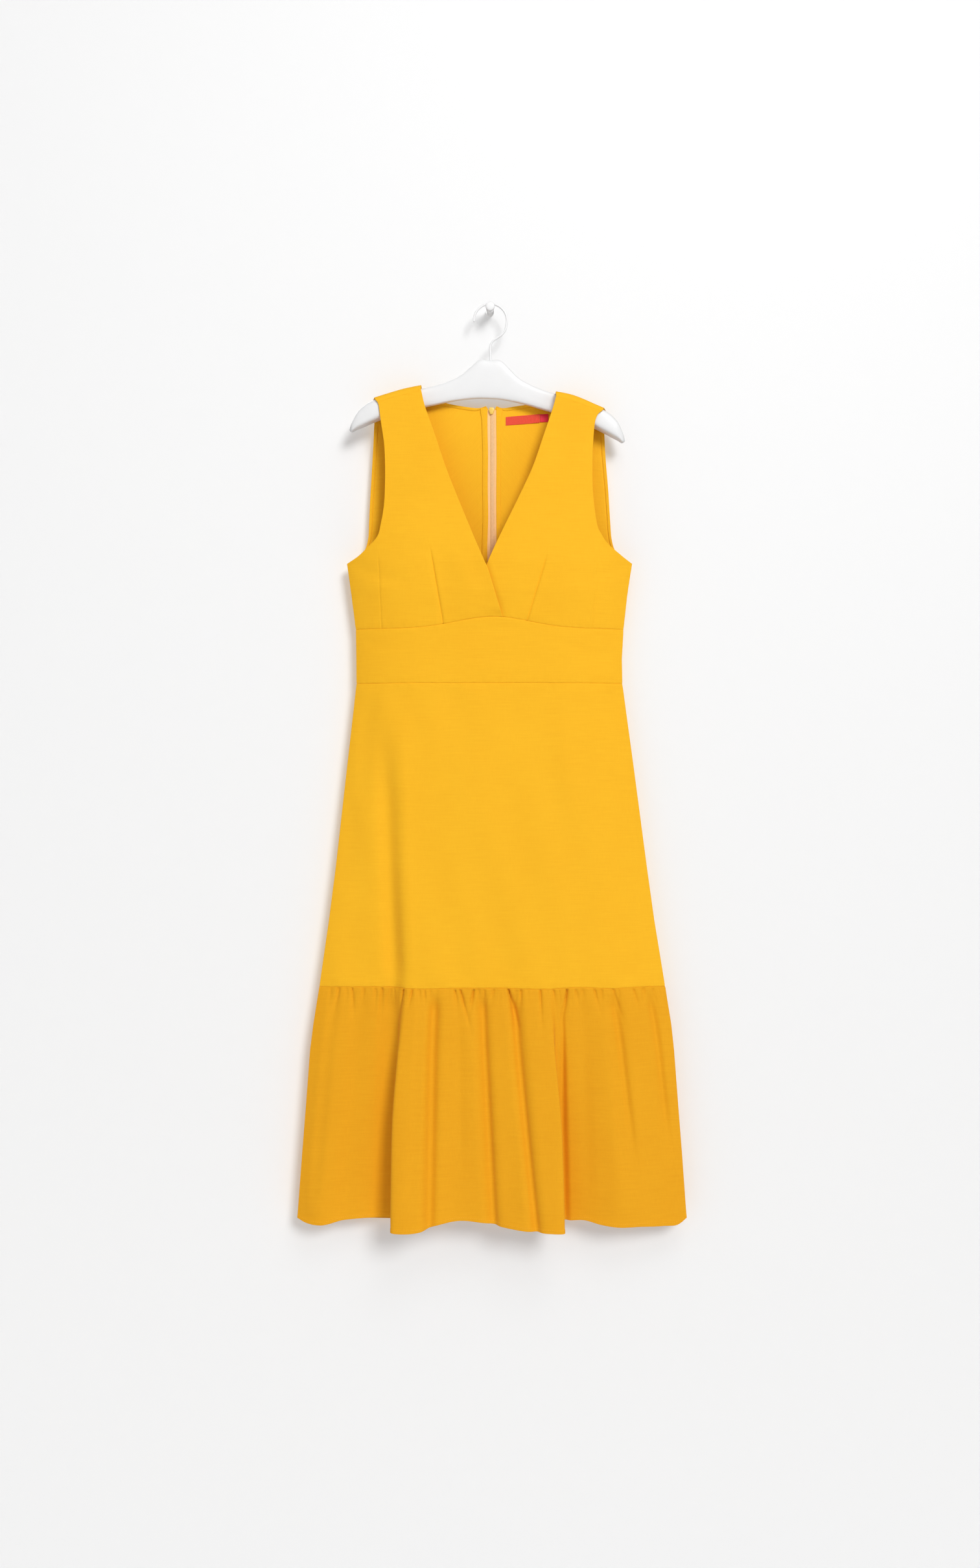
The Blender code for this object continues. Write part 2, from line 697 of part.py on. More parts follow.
def frill_point(share, down, front):
    """Point of the frill's inner face: share runs along the seam and down runs to the hem.

    The cloth starts on the skirt's own surface and eases into the hem's line, less its
    gathers and troughs. On the front a middle block stands forward between two edges,
    and the cloth under each edge turns back beneath it.
    """
    if front:
        side_depth, side_foot = hem_line(HEM_SIDES, share)
        block_depth, block_foot = hem_line(HEM_BLOCK, share)
        width = right_edge(FRILL_TOP) - left_edge(FRILL_TOP)
        left_at = BLOCK_LEFT_EDGE[0] + (BLOCK_LEFT_EDGE[1] - BLOCK_LEFT_EDGE[0]) * down
        right_at = BLOCK_RIGHT_EDGE[0] + (BLOCK_RIGHT_EDGE[1] - BLOCK_RIGHT_EDGE[0]) * down
        left_turn = (share - left_at) * width / EDGE_WIDTH
        right_turn = (right_at - share) * width / EDGE_WIDTH
        block = swing(left_turn) * swing(right_turn)
        hem_depth = side_depth + (block_depth - side_depth) * block
        foot = side_foot + (block_foot - side_foot) * block
        lean = EDGE_OVERHANG * ease(down * 1.6)
        shift = lean * (
            right_turn * np.exp(0.5 - right_turn**2 / 2) - left_turn * np.exp(0.5 - left_turn**2 / 2)
        )
        gathers, troughs, surface, outwards = FRONT_GATHERS, FRONT_TROUGHS, front_depth, 1
    else:
        hem_depth, foot = hem_line(HEM_BACK, share)
        shift = 0.0
        gathers, troughs, surface, outwards = back_gathers(), BACK_TROUGHS, back_depth, -1
    top = FRILL_TOP - GAP / 2
    z = top + (foot - top) * down
    seam_x = left_edge(top) + (right_edge(top) - left_edge(top)) * share
    x = left_edge(z) + (right_edge(z) - left_edge(z)) * share + shift
    depth = surface(seam_x, top) * (1 - down**0.8) + hem_depth * down**0.8
    edge_fade = ease(np.minimum(share, 1 - share) / 0.03)
    dips = gather_dips(share, top - z, gathers)
    dips = dips + trough_dips(share, down, troughs, right_edge(z) - left_edge(z))
    return x, depth - outwards * dips * edge_fade, z


def add_frill():
    down = np.array([0.0, 0.03, 0.075, 0.14, 0.26, 0.42, 0.6, 0.8, 1.0])[:, None]
    edges = (np.mean(BLOCK_LEFT_EDGE), np.mean(BLOCK_RIGHT_EDGE))
    share = frill_columns(FRONT_GATHERS, edges)[None, :]
    x, depth, z = frill_point(share, down, front=True)
    add_wall("frill_front", grid_of(x, depth, z), "linen")
    share = frill_columns(back_gathers(), ())[None, :]
    x, depth, z = frill_point(share, down, front=False)
    add_wall("frill_back", grid_of(x, depth, z), "linen", faces_front=False)


def inside_back(x, z, lift):
    """Points that lie on the inside of the back, moved out towards the viewer."""
    return grid_of(x, back_depth(x, z) + GAP + lift, z)


def add_zip_tapes():
    z = np.linspace(ZIP_TOP, ZIP_FOOT, 24)[:, None]
    for name, near, far in (
        ("zip_tape_right", -TAPE_OUTER, -TAPE_INNER),
        ("zip_tape_left", TAPE_INNER, TAPE_OUTER),
    ):
        x = BACK_CENTRE + np.array([[near, far]]) + 0 * z
        add_wall(name, inside_back(x, z + 0 * x, 0.0), "zip_tape", TAPE_THICK)


def add_tab(name, place, slot, columns):
    """A bare tape sewn flat to the inside of the back, whose far end sits a little higher."""
    share = np.linspace(0, 1, columns + 1)[None, :]
    down = np.linspace(0, 1, 3)[:, None]
    x = place["left"] + (place["right"] - place["left"]) * share + 0 * down
    z = place["top"] + (place["foot"] - place["top"]) * down + place["rise"] * share
    add_wall(name, inside_back(x, z, 0.0), slot, TAPE_THICK)


def box(name, low, high, slot=None):
    """An upright box between two corners given as x, depth and z."""
    bpy.ops.mesh.primitive_cube_add(size=1.0)
    made = bpy.context.object
    made.name = name
    made.data.name = name
    low = np.array(low)
    high = np.array(high)
    middle = (low + high) / 2 * MM
    made.location = (middle[0], -middle[1], middle[2])
    made.scale = tuple(np.abs(high - low) * MM)
    return place_part(made, slot)


def rod_along_x(name, radius, start, end, depth, z, slot=None):
    bpy.ops.mesh.primitive_cylinder_add(
        vertices=16,
        radius=radius * MM,
        depth=(end - start) * MM,
        location=((start + end) / 2 * MM, -depth * MM, z * MM),
        rotation=(0, math.pi / 2, 0),
    )
    made = bpy.context.object
    made.name = name
    made.data.name = name
    return place_part(made, slot)


def place_part(made, slot):
    """Moves a primitive to the parts, or to the cutters when it has no material slot."""
    for holder in made.users_collection:
        holder.objects.unlink(made)
    if slot is None:
        CUTTERS.objects.link(made)
        made.hide_render = True
        made.display_type = "WIRE"
    else:
        PARTS.objects.link(made)
        made.data.materials.append(material(slot))
    return made


def combine(target, other, operation):
    joint = target.modifiers.new(operation.lower(), "BOOLEAN")
    joint.operation = operation
    joint.object = other
    return joint


def add_slider():
    """The closed zip's slider inside, and the lug that reaches out through the zip."""
    inner = back_depth(BACK_CENTRE, SLIDER_HEIGHT_AT) + 2 * GAP + TAPE_THICK
    half_width = SLIDER_WIDTH / 2
    half_height = SLIDER_HEIGHT / 2
    slider = box(
        "zip_slider",
        (BACK_CENTRE - half_width, inner, SLIDER_HEIGHT_AT - half_height),
        (BACK_CENTRE + half_width, inner + SLIDER_THICK, SLIDER_HEIGHT_AT + half_height),
        "zip_metal",
    )
    lug = box(
        "slider_lug",
        (BACK_CENTRE - LUG_WIDTH / 2, PULL_PIN_DEPTH - 2.0, SLIDER_HEIGHT_AT - LUG_HEIGHT / 2),
        (BACK_CENTRE + LUG_WIDTH / 2, inner + 1.0, SLIDER_HEIGHT_AT + LUG_HEIGHT / 2),
    )
    hole = rod_along_x(
        "slider_hole",
        PULL_HOLE_RADIUS,
        BACK_CENTRE - LUG_WIDTH,
        BACK_CENTRE + LUG_WIDTH,
        PULL_PIN_DEPTH,
        SLIDER_HEIGHT_AT,
    )
    combine(slider, lug, "UNION")
    combine(slider, hole, "DIFFERENCE")


def add_pull():
    """The pull tab outside: a plate on two arms that share a pin through the lug."""
    arm_in = LUG_WIDTH / 2 + GAP
    arm_out = arm_in + PULL_ARM
    foot = SLIDER_HEIGHT_AT - PULL_LENGTH
    plate_top = SLIDER_HEIGHT_AT - LUG_HEIGHT / 2 - 1.5
    near = PULL_PIN_DEPTH - PULL_THICK / 2
    far = PULL_PIN_DEPTH + PULL_THICK / 2
    pull = box(
        "zip_pull",
        (BACK_CENTRE - PULL_WIDTH / 2, near, foot),
        (BACK_CENTRE + PULL_WIDTH / 2, far, plate_top),
        "zip_metal",
    )
    for side, start, end in (("right", -arm_out, -arm_in), ("left", arm_in, arm_out)):
        arm = box(
            "pull_arm_" + side,
            (BACK_CENTRE + start, near, plate_top - 1.0),
            (BACK_CENTRE + end, far, SLIDER_HEIGHT_AT + 1.0),
        )
        combine(pull, arm, "UNION")
    pin = rod_along_x(
        "pull_pin",
        PULL_PIN_RADIUS,
        BACK_CENTRE - arm_out + 0.2,
        BACK_CENTRE + arm_out - 0.2,
        PULL_PIN_DEPTH,
        SLIDER_HEIGHT_AT,
    )
    combine(pull, pin, "UNION")


def add_hanger():
    """The contoured bar: a ring of points round each station, in both directions from the neck."""
    half = np.array(HANGER)
    stations = np.concatenate([half[:0:-1] * (-1, 1, 1, 1), half])
    reach, top, foot, thick = stations[:, :, None].transpose(1, 0, 2)
    angle = np.linspace(0, 2 * math.pi, HANGER_RING_POINTS, endpoint=False)[None, :]
    round_off = 2 / HANGER_SQUARENESS
    across = np.sign(np.cos(angle)) * np.abs(np.cos(angle)) ** round_off
    up = np.sign(np.sin(angle)) * np.abs(np.sin(angle)) ** round_off
    bow = HANGER_BOW * ease((np.abs(reach) - HANGER_BOW_FROM) / (HANGER_BOW_TO - HANGER_BOW_FROM))
    points = np.stack(
        [
            reach + 0 * across,
            -(bow + thick / 2 * across),
            (top + foot) / 2 + (top - foot) / 2 * up,
        ],
        axis=-1,
    )
    rings, around = points.shape[:2]
    corner = np.arange(rings * around).reshape(rings, around)
    beside = np.roll(corner, -1, axis=1)
    sides = np.stack([corner[:-1], beside[:-1], beside[1:], corner[1:]], axis=-1).reshape(-1, 4)
    faces = sides.tolist() + [corner[0][::-1].tolist(), corner[-1].tolist()]
    mesh = bpy.data.meshes.new("hanger_body")
    mesh.from_pydata((points.reshape(-1, 3) * MM).tolist(), [], faces)
    mesh.shade_smooth()
    mesh.set_sharp_from_angle(angle=math.radians(50))
    hanger = add_object("hanger_body", mesh, "hanger_white")
    hanger.location = (0, -HANGER_DEPTH * MM, HANGER_PIVOT * MM)
    hanger.rotation_euler = (0, HANGER_TILT, 0)
    bpy.ops.mesh.primitive_cylinder_add(
        vertices=20,
        radius=(WIRE_RADIUS + GAP) * MM,
        depth=2 * SOCKET_DEPTH * MM,
        location=(HOOK_STEM[1][0] * MM, -HANGER_DEPTH * MM, (HANGER_PIVOT + 7.0) * MM),
    )
    socket = bpy.context.object
    socket.name = "hook_socket"
    combine(hanger, place_part(socket, None), "DIFFERENCE")


def add_hook():
    """The wire: up out of the hanger, out to the right and round over the peg to its free end."""
    turn = np.radians(np.linspace(HOOK_ARC_FROM, HOOK_ARC_TO, HOOK_ARC_STEPS))
    arc = [
        (HOOK_CENTRE[0] + HOOK_RADIUS * math.cos(a), HOOK_CENTRE[1] + HOOK_RADIUS * math.sin(a))
        for a in turn
    ]
    path = np.array(list(HOOK_STEM) + arc)
    along = np.concatenate([[0], np.cumsum(np.hypot(*np.diff(path, axis=0).T))])
    even = np.linspace(0, along[-1], 56)
    x = smooth_through(along, path[:, 0], even)
    z = smooth_through(along, path[:, 1], even)
    curve = bpy.data.curves.new("hanger_hook", "CURVE")
    curve.dimensions = "3D"
    curve.bevel_depth = WIRE_RADIUS * MM
    curve.bevel_resolution = 3
    curve.use_fill_caps = True
    wire = curve.splines.new("POLY")
    wire.points.add(len(x) - 1)
    for point, px, pz in zip(wire.points, x, z):
        point.co = (px * MM, -HANGER_DEPTH * MM, pz * MM, 1.0)
    add_object("hanger_hook", curve, "hook_white")


def add_peg():
    """A turned peg: its profile spun about the line that stands out from the wall."""
    steps = np.array(PEG)
    profile = [(0.0, 0.0, steps[0, 0])] + [(r, 0.0, d) for d, r in steps] + [(0.0, 0.0, steps[-1, 0])]
    mesh = bpy.data.meshes.new("wall_peg")
    points = [(x * MM, y * MM, z * MM) for x, y, z in reversed(profile)]
    mesh.from_pydata(points, [(k, k + 1) for k in range(len(points) - 1)], [])
    peg = add_object("wall_peg", mesh, "peg_white")
    peg.rotation_euler = (math.pi / 2, 0, 0)
    spin = peg.modifiers.new("spin", "SCREW")
    spin.steps = PEG_STEPS
    spin.render_steps = PEG_STEPS
    spin.use_merge_vertices = True
    spin.merge_threshold = 1e-5


def clear_scene():
    for old in list(bpy.data.objects):
        bpy.data.objects.remove(old, do_unlink=True)


def add_collection(name):
    made = bpy.data.collections.new(name)
    bpy.context.scene.collection.children.link(made)
    return made


clear_scene()
PARTS = add_collection("linen_dress")
CUTTERS = add_collection("cutters")
add_peg()
add_hook()
add_hanger()
add_bodice_fronts()
add_bodice_backs()
add_midriff()
add_skirt()
add_frill()
add_zip_tapes()
add_slider()
add_pull()
add_tab("neck_label", LABEL, "label_orange", 4)
add_tab("size_tab", SIZE_TAB, "label_red", 2)
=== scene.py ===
"""Looks of a sleeveless linen dress that hangs from a wall peg by its hanger.

Each panel is a thin shell of cloth on the form of its solid, with its seams, darts, gathers,
creases and rows of stitches. Tables and helpers work in millimetres and count "depth"
forwards from the wall; MM turns them into Blender's metres. +x is the viewer's right and
+z is up. Left and right in names are the wearer's.
"""

import math

import bpy
import numpy as np
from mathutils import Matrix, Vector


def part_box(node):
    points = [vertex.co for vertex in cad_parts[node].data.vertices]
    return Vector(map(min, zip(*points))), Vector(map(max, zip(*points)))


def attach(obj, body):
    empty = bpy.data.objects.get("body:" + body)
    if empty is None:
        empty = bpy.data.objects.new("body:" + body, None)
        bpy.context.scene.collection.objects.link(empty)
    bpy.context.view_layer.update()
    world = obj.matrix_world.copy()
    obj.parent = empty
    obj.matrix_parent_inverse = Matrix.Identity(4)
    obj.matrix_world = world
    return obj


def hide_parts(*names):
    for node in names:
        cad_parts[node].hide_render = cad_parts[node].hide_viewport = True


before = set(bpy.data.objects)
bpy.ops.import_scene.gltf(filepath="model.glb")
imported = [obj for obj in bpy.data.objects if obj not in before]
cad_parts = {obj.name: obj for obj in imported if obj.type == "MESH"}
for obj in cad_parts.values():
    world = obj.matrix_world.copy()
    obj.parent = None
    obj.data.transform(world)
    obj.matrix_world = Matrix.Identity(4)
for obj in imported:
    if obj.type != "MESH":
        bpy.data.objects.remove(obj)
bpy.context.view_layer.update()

MM = 0.001
BODY_OF_CLOTH = "dress"
BODY_OF_PULL = "pull"

# Cloth. A seam below 0 lets two panels meet a little inside each other's rolled edge
CLOTH = 1.2
GAP = 0.3
LAP = CLOTH + GAP
SIDE_ROLL = 0.45
SEAM = -0.1
SHOULDER_SEAM = -0.5

# Heights of the level seams
MIDRIFF_TOP = -499.0
MIDRIFF_RISE = 18.0
MIDRIFF_RISE_AT = 5.0
MIDRIFF_RISE_SPREAD = 55.0
MIDRIFF_FOOT = -583.0
FRILL_TOP = -1052.0
BACK_CENTRE = 2.4

# Hanger and hook
HANGER_PIVOT = -86.3
HANGER_TILT = math.radians(2.3)
HANGER_DEPTH = 26.0
HANGER_BOW = 5.0
HANGER_BOW_FROM = 84.0
HANGER_BOW_TO = 165.0
HANGER_SQUARENESS = 4.0
WIRE_RADIUS = 1.75
HOOK_CENTRE = (0.6, -19.4)
HOOK_RADIUS = 25.6
HOOK_ARC_FROM = -14.0
HOOK_ARC_TO = 186.0
SHOULDER_SQUARENESS = 2.6

# Zip and tapes
ZIP_TOP = -152.0
ZIP_FOOT = -712.0
TAPE_OUTER = 8.0
TAPE_THICK = 1.0
SLIDER_HEIGHT = 10.6
SLIDER_THICK = 3.0
SLIDER_HEIGHT_AT = -158.0
LABEL = {"left": 24.5, "right": 77.5, "top": -167.0, "foot": -180.5, "rise": 4.5}
SIZE_TAB = {"left": 78.0, "right": 91.0, "top": -162.8, "foot": -175.2, "rise": 0.5}

# The flattened dress, a row for each height
#        height   left    right   seam   front  back
BODY = (
    (-125.0, -420.0, 420.0, 24.0, 47.5, 15.0),
    (-200.0, -360.0, 360.0, 24.0, 47.5, 15.0),
    (-300.0, -270.0, 269.0, 24.0, 48.0, 12.0),
    (-360.0, -234.0, 233.0, 24.0, 52.0, 10.5),
    (-397.0, -221.5, 220.2, 24.0, 54.0, 9.5),
    (-440.0, -215.6, 213.6, 24.0, 53.0, 9.0),
    (-499.0, -208.0, 207.0, 23.0, 47.0, 8.5),
    (-545.0, -207.2, 204.4, 23.0, 46.0, 8.0),
    (-583.0, -207.0, 205.2, 23.0, 46.0, 8.0),
    (-628.0, -212.0, 211.2, 23.0, 46.5, 8.0),
    (-709.0, -221.2, 222.2, 24.0, 49.0, 7.5),
    (-870.0, -239.3, 243.3, 26.0, 53.0, 7.0),
    (-950.0, -249.4, 254.4, 27.0, 55.0, 7.0),
    (-1052.0, -264.2, 271.0, 28.0, 58.0, 7.0),
    (-1111.0, -273.5, 280.5, 28.5, 59.0, 7.5),
    (-1151.0, -278.5, 284.8, 29.0, 60.0, 8.0),
    (-1232.0, -284.4, 290.8, 30.0, 61.0, 8.5),
    (-1312.0, -290.6, 297.0, 31.0, 62.0, 9.0),
    (-1425.0, -299.0, 305.0, 32.0, 62.0, 9.0),
)

# Bodice panels: each row joins a point of the side or armhole to one of the neck or centre
#        side x   side z   inner x  inner z
FRONT_RIGHT = (
    (
        (-172.0, -150.2, -106.0, -132.3),
        (-168.0, -181.0, -99.5, -159.0),
        (-163.0, -216.0, -84.0, -203.0),
        (-161.5, -257.0, -65.0, -258.9),
        (-163.0, -305.0, -39.0, -323.8),
        (-168.0, -337.0, -22.0, -365.0),
        (-174.0, -358.0, -13.0, -386.0),
        (-190.7, -375.1, -8.0, -397.5),
        (-204.0, -386.7, -5.0, -403.5),
        (-221.5, -397.0, -2.0, -411.0),
    ),
    (
        (-221.5, -397.0, -2.0, -411.0),
        (-215.0, -444.0, 9.0, -448.0),
        (-208.0, -499.0, 19.6, -481.5),
    ),
)
FRONT_LEFT = (
    (
        (168.5, -163.8, 101.5, -142.0),
        (162.0, -180.0, 96.2, -161.0),
        (159.2, -206.0, 82.0, -203.0),
        (157.6, -241.0, 65.5, -250.5),
        (158.5, -289.0, 44.5, -296.0),
        (164.5, -337.0, 21.5, -343.0),
        (172.7, -355.7, 10.0, -367.0),
        (182.6, -369.0, 4.0, -380.0),
        (203.6, -385.7, -3.0, -396.0),
        (220.2, -397.0, -8.0, -407.0),
    ),
    (
        (220.2, -397.0, -8.0, -407.0),
        (213.0, -444.0, -17.0, -444.0),
        (207.0, -499.0, -26.0, -484.0),
    ),
)
BACK_RIGHT = (
    (
        (-177.0, -151.6, -106.0, -132.3),
        (-180.0, -175.0, -88.0, -138.5),
        (-182.0, -215.0, -64.7, -146.1),
        (-184.0, -250.0, -38.0, -151.0),
        (-186.0, -283.0, -18.5, -153.0),
        (-187.5, -310.0, -6.0, -149.7),
    ),
    (
        (-187.5, -310.0, -6.0, -149.7),
        (-188.4, -332.0, 0.6, -163.0),
        (-189.6, -356.0, BACK_CENTRE, -180.0),
        (-194.5, -374.0, BACK_CENTRE, -235.0),
        (-204.0, -386.7, BACK_CENTRE, -295.0),
        (-221.5, -397.0, BACK_CENTRE, -360.0),
    ),
    (
        (-221.5, -397.0, BACK_CENTRE, -360.0),
        (-215.0, -444.0, BACK_CENTRE, -428.0),
        (-208.0, -499.0, BACK_CENTRE, -499.0),
    ),
)
BACK_LEFT = (
    (
        (176.0, -166.2, 101.5, -142.0),
        (178.0, -190.0, 82.0, -144.5),
        (179.5, -222.0, 62.0, -147.0),
        (182.0, -254.0, 38.0, -150.5),
        (184.4, -283.0, 20.0, -153.0),
        (186.0, -310.0, 10.0, -149.7),
    ),
    (
        (186.0, -310.0, 10.0, -149.7),
        (187.4, -332.0, 4.2, -163.0),
        (189.2, -356.0, BACK_CENTRE, -180.0),
        (194.0, -374.0, BACK_CENTRE, -235.0),
        (203.6, -385.7, BACK_CENTRE, -295.0),
        (220.2, -397.0, BACK_CENTRE, -360.0),
    ),
    (
        (220.2, -397.0, BACK_CENTRE, -360.0),
        (213.0, -444.0, BACK_CENTRE, -428.0),
        (207.0, -499.0, BACK_CENTRE, -499.0),
    ),
)

# Crest of the dress over the hanger
#       x       height
SHOULDER_CREST = (
    (-178.5, -141.0),
    (-157.8, -134.8),
    (-133.8, -127.8),
    (-106.0, -122.3),
    (101.5, -131.8),
    (125.6, -136.6),
    (161.3, -151.2),
    (178.6, -159.6),
)

# Darts of the front: straight lines from a tip down to the midriff seam
#      tip x   tip z   seam x  strength
DARTS_RIGHT = ((-172.5, -378.0, -167.5, 0.3), (-93.0, -370.0, -71.0, 1.0))
DARTS_LEFT = ((168.0, -372.0, 157.5, 0.25), (89.5, -380.0, 53.5, 0.9))
# Relief across a dart of full strength: a soft dip, its sewn line, and a ridge beside it.
# The last column is how soon below the tip each is full
#    high  beside  wide  soon
DART_PROFILE = (
    (-0.8, 0.0, 5.0, 5.0),
    (-1.2, 0.0, 1.0, 5.0),
    (0.6, 4.0, 3.0, 4.0),
)
DART_SWELL = {"high": 0.9, "wide": 16.0, "above": 12.0, "tall": 24.0}

# Soft fold down the front of the skirt: height and x of its two ends
SKIRT_FOLD_TOP = (-600.0, -152.0)
SKIRT_FOLD_FOOT = (FRILL_TOP, -134.0)
SKIRT_FOLD_DROP = 13.0
SKIRT_FOLD_WIDTH = 25.0
SKIRT_FOLD_AHEAD = 9.0
# The trough along the fold and the low ridge beyond it
#    beside  high  wide
FOLD_TROUGH = ((-14.0, -4.6, 14.0), (15.0, 1.2, 9.0))
FOLD_TROUGH_STARTS = {"at": 0.03, "over": 0.38}
FOLD_TROUGH_FADES = {"at": 0.9, "over": 0.1, "by": 0.8}

# Hem of the frill: at its sides, on the block that stands forward in the middle, and behind
#        share   depth  height
HEM_SIDES = (
    (0.000, 32.0, -1410.0),
    (0.020, 37.0, -1415.5),
    (0.058, 44.0, -1419.0),
    (0.118, 40.0, -1412.0),
    (0.178, 37.0, -1409.0),
    (0.240, 33.0, -1409.5),
    (0.450, 36.0, -1410.0),
    (0.690, 43.0, -1412.0),
    (0.735, 47.0, -1410.0),
    (0.778, 52.0, -1416.0),
    (0.818, 56.0, -1419.0),
    (0.878, 52.0, -1419.0),
    (0.938, 43.0, -1420.0),
    (0.980, 37.0, -1418.0),
    (1.000, 32.0, -1410.0),
)
HEM_BLOCK = (
    (0.000, 82.0, -1420.0),
    (0.255, 84.0, -1421.0),
    (0.285, 86.0, -1421.5),
    (0.320, 84.0, -1419.0),
    (0.368, 74.0, -1410.0),
    (0.418, 68.0, -1405.5),
    (0.468, 69.0, -1408.0),
    (0.518, 73.0, -1413.0),
    (0.578, 81.0, -1418.0),
    (0.655, 87.0, -1421.5),
    (1.000, 84.0, -1421.0),
)
HEM_BACK = (
    (0.000, 32.0, -1410.0),
    (0.045, 22.0, -1415.0),
    (0.110, 8.0, -1418.0),
    (0.190, 19.0, -1414.0),
    (0.270, 6.5, -1418.0),
    (0.350, 17.0, -1413.0),
    (0.430, 7.0, -1416.0),
    (0.520, 19.0, -1413.0),
    (0.600, 6.5, -1417.0),
    (0.690, 20.0, -1414.0),
    (0.770, 7.5, -1418.0),
    (0.855, 18.0, -1415.0),
    (0.925, 9.0, -1418.0),
    (0.965, 22.0, -1416.0),
    (1.000, 32.0, -1410.0),
)
# Edges of that block, as shares of the width at the seam and at the hem
BLOCK_LEFT_EDGE = (0.2410, 0.2550)
BLOCK_RIGHT_EDGE = (0.6690, 0.6720)
EDGE_WIDTH = 7.0
EDGE_OVERHANG = 12.5

# Long troughs of the frill, from a share of the seam to a share of the hem
#    seam   hem    deep  wide  reach
FRONT_TROUGHS = (
    (0.337, 0.341, 8.0, 9.0, 1.0),
    (0.467, 0.502, 8.0, 10.0, 1.0),
    (0.559, 0.612, 7.0, 9.0, 1.0),
    (0.843, 0.858, 5.0, 13.0, 0.6),
    (0.950, 0.962, 3.0, 9.0, 0.5),
)
BACK_TROUGHS = (
    (0.150, 0.150, 3.0, 12.0, 0.8),
    (0.395, 0.390, 3.0, 11.0, 0.9),
    (0.560, 0.565, 3.0, 12.0, 0.9),
    (0.815, 0.810, 3.0, 12.0, 0.8),
)
# Short gathers under the frill's seam, as measured along it
#    share  long  bold  lean
FRONT_GATHERS = (
    (0.034, 24.0, 0.5, 0.05),
    (0.058, 36.0, 0.7, -0.06),
    (0.081, 20.0, 0.5, 0.10),
    (0.096, 46.0, 0.8, 0.16),
    (0.133, 26.0, 0.6, -0.10),
    (0.165, 34.0, 0.5, 0.05),
    (0.184, 50.0, 0.7, 0.02),
    (0.210, 22.0, 0.5, -0.12),
    (0.247, 34.0, 1.3, -0.10),
    (0.272, 26.0, 0.8, -0.15),
    (0.292, 20.0, 0.6, 0.02),
    (0.306, 30.0, 0.6, 0.10),
    (0.322, 18.0, 0.5, 0.00),
    (0.393, 24.0, 1.0, 0.12),
    (0.407, 54.0, 1.2, 0.28),
    (0.448, 34.0, 1.5, -0.16),
    (0.460, 18.0, 0.6, 0.05),
    (0.477, 24.0, 0.6, 0.00),
    (0.505, 20.0, 0.8, -0.20),
    (0.545, 50.0, 1.6, 0.24),
    (0.571, 22.0, 0.7, -0.10),
    (0.583, 32.0, 1.1, -0.08),
    (0.638, 56.0, 0.8, -0.02),
    (0.675, 24.0, 0.6, 0.05),
    (0.716, 46.0, 1.5, -0.22),
    (0.738, 24.0, 0.7, 0.10),
    (0.757, 20.0, 0.6, -0.05),
    (0.792, 34.0, 0.8, 0.14),
    (0.812, 24.0, 0.6, -0.10),
    (0.846, 44.0, 0.8, 0.20),
    (0.862, 22.0, 0.5, -0.05),
    (0.905, 38.0, 0.7, 0.16),
    (0.935, 22.0, 0.6, -0.05),
    (0.962, 30.0, 0.5, 0.08),
)
BACK_GATHER_COUNT = 34
GATHER_DEPTH = 2.6
GATHER_WIDTH = 3.4
GATHER_SHORTEST = 16.0
GATHER_LONGEST = 60.0
GATHER_BOLDNESS = (0.3, 1.5)
GATHER_LEAN = 0.3
GATHER_FULL_AT = 4.0
GATHER_OPENS = {"from": 0.65, "by": 0.8}
# A sharper bell inside each gather, and the fine gathers between them: how deep and how wide
GATHER_CORE = (2.0, 1.25)
FINE_GATHER = (0.7, 1.0)
FINE_GATHER_COUNT = 70
GOLDEN_SHARE = 0.618034
# Steps and starts by which the length, boldness and lean of spread gathers vary
GATHER_STEPS = ((GOLDEN_SHARE, 0.3), (0.7549, 0.55), (0.5698, 0.2))

# Half of the hanger, from its neck to its tip, before it is tilted
#    reach  top    foot    thick
HANGER = (
    (0.0, 4.5, -54.9, 12.0),
    (17.0, 4.5, -55.3, 12.0),
    (30.0, -7.0, -56.8, 12.0),
    (43.5, -19.6, -58.9, 12.0),
    (63.7, -30.8, -63.0, 12.0),
    (84.0, -38.4, -68.3, 12.5),
    (99.5, -42.8, -72.2, 13.5),
    (131.5, -49.6, -82.3, 19.0),
    (156.0, -57.2, -91.0, 26.0),
    (166.0, -61.2, -94.6, 28.0),
    (180.0, -68.2, -101.0, 28.0),
    (192.0, -76.0, -107.0, 26.0),
    (202.5, -87.5, -112.0, 22.0),
    (209.5, -101.5, -115.8, 15.0),
    (213.5, -109.5, -115.5, 7.0),
)
# The peg, from the wall to the front of its knob
#    depth radius
PEG = (
    (0.0, 6.0),
    (18.0, 6.0),
    (20.0, 5.6),
    (21.5, 4.2),
    (30.0, 4.2),
    (31.2, 6.4),
    (33.0, 7.2),
    (36.0, 7.2),
    (37.3, 6.4),
    (38.0, 4.6),
    (38.2, 0.0),
)
# The hook's wire, from its foot in the hanger to where its round part starts
#    x     z
HOOK_STEM = (
    (0.8, -92.0),
    (0.6, -74.0),
    (0.8, -58.5),
    (4.0, -52.0),
    (11.5, -46.4),
    (18.6, -41.2),
    (23.4, -34.6),
)

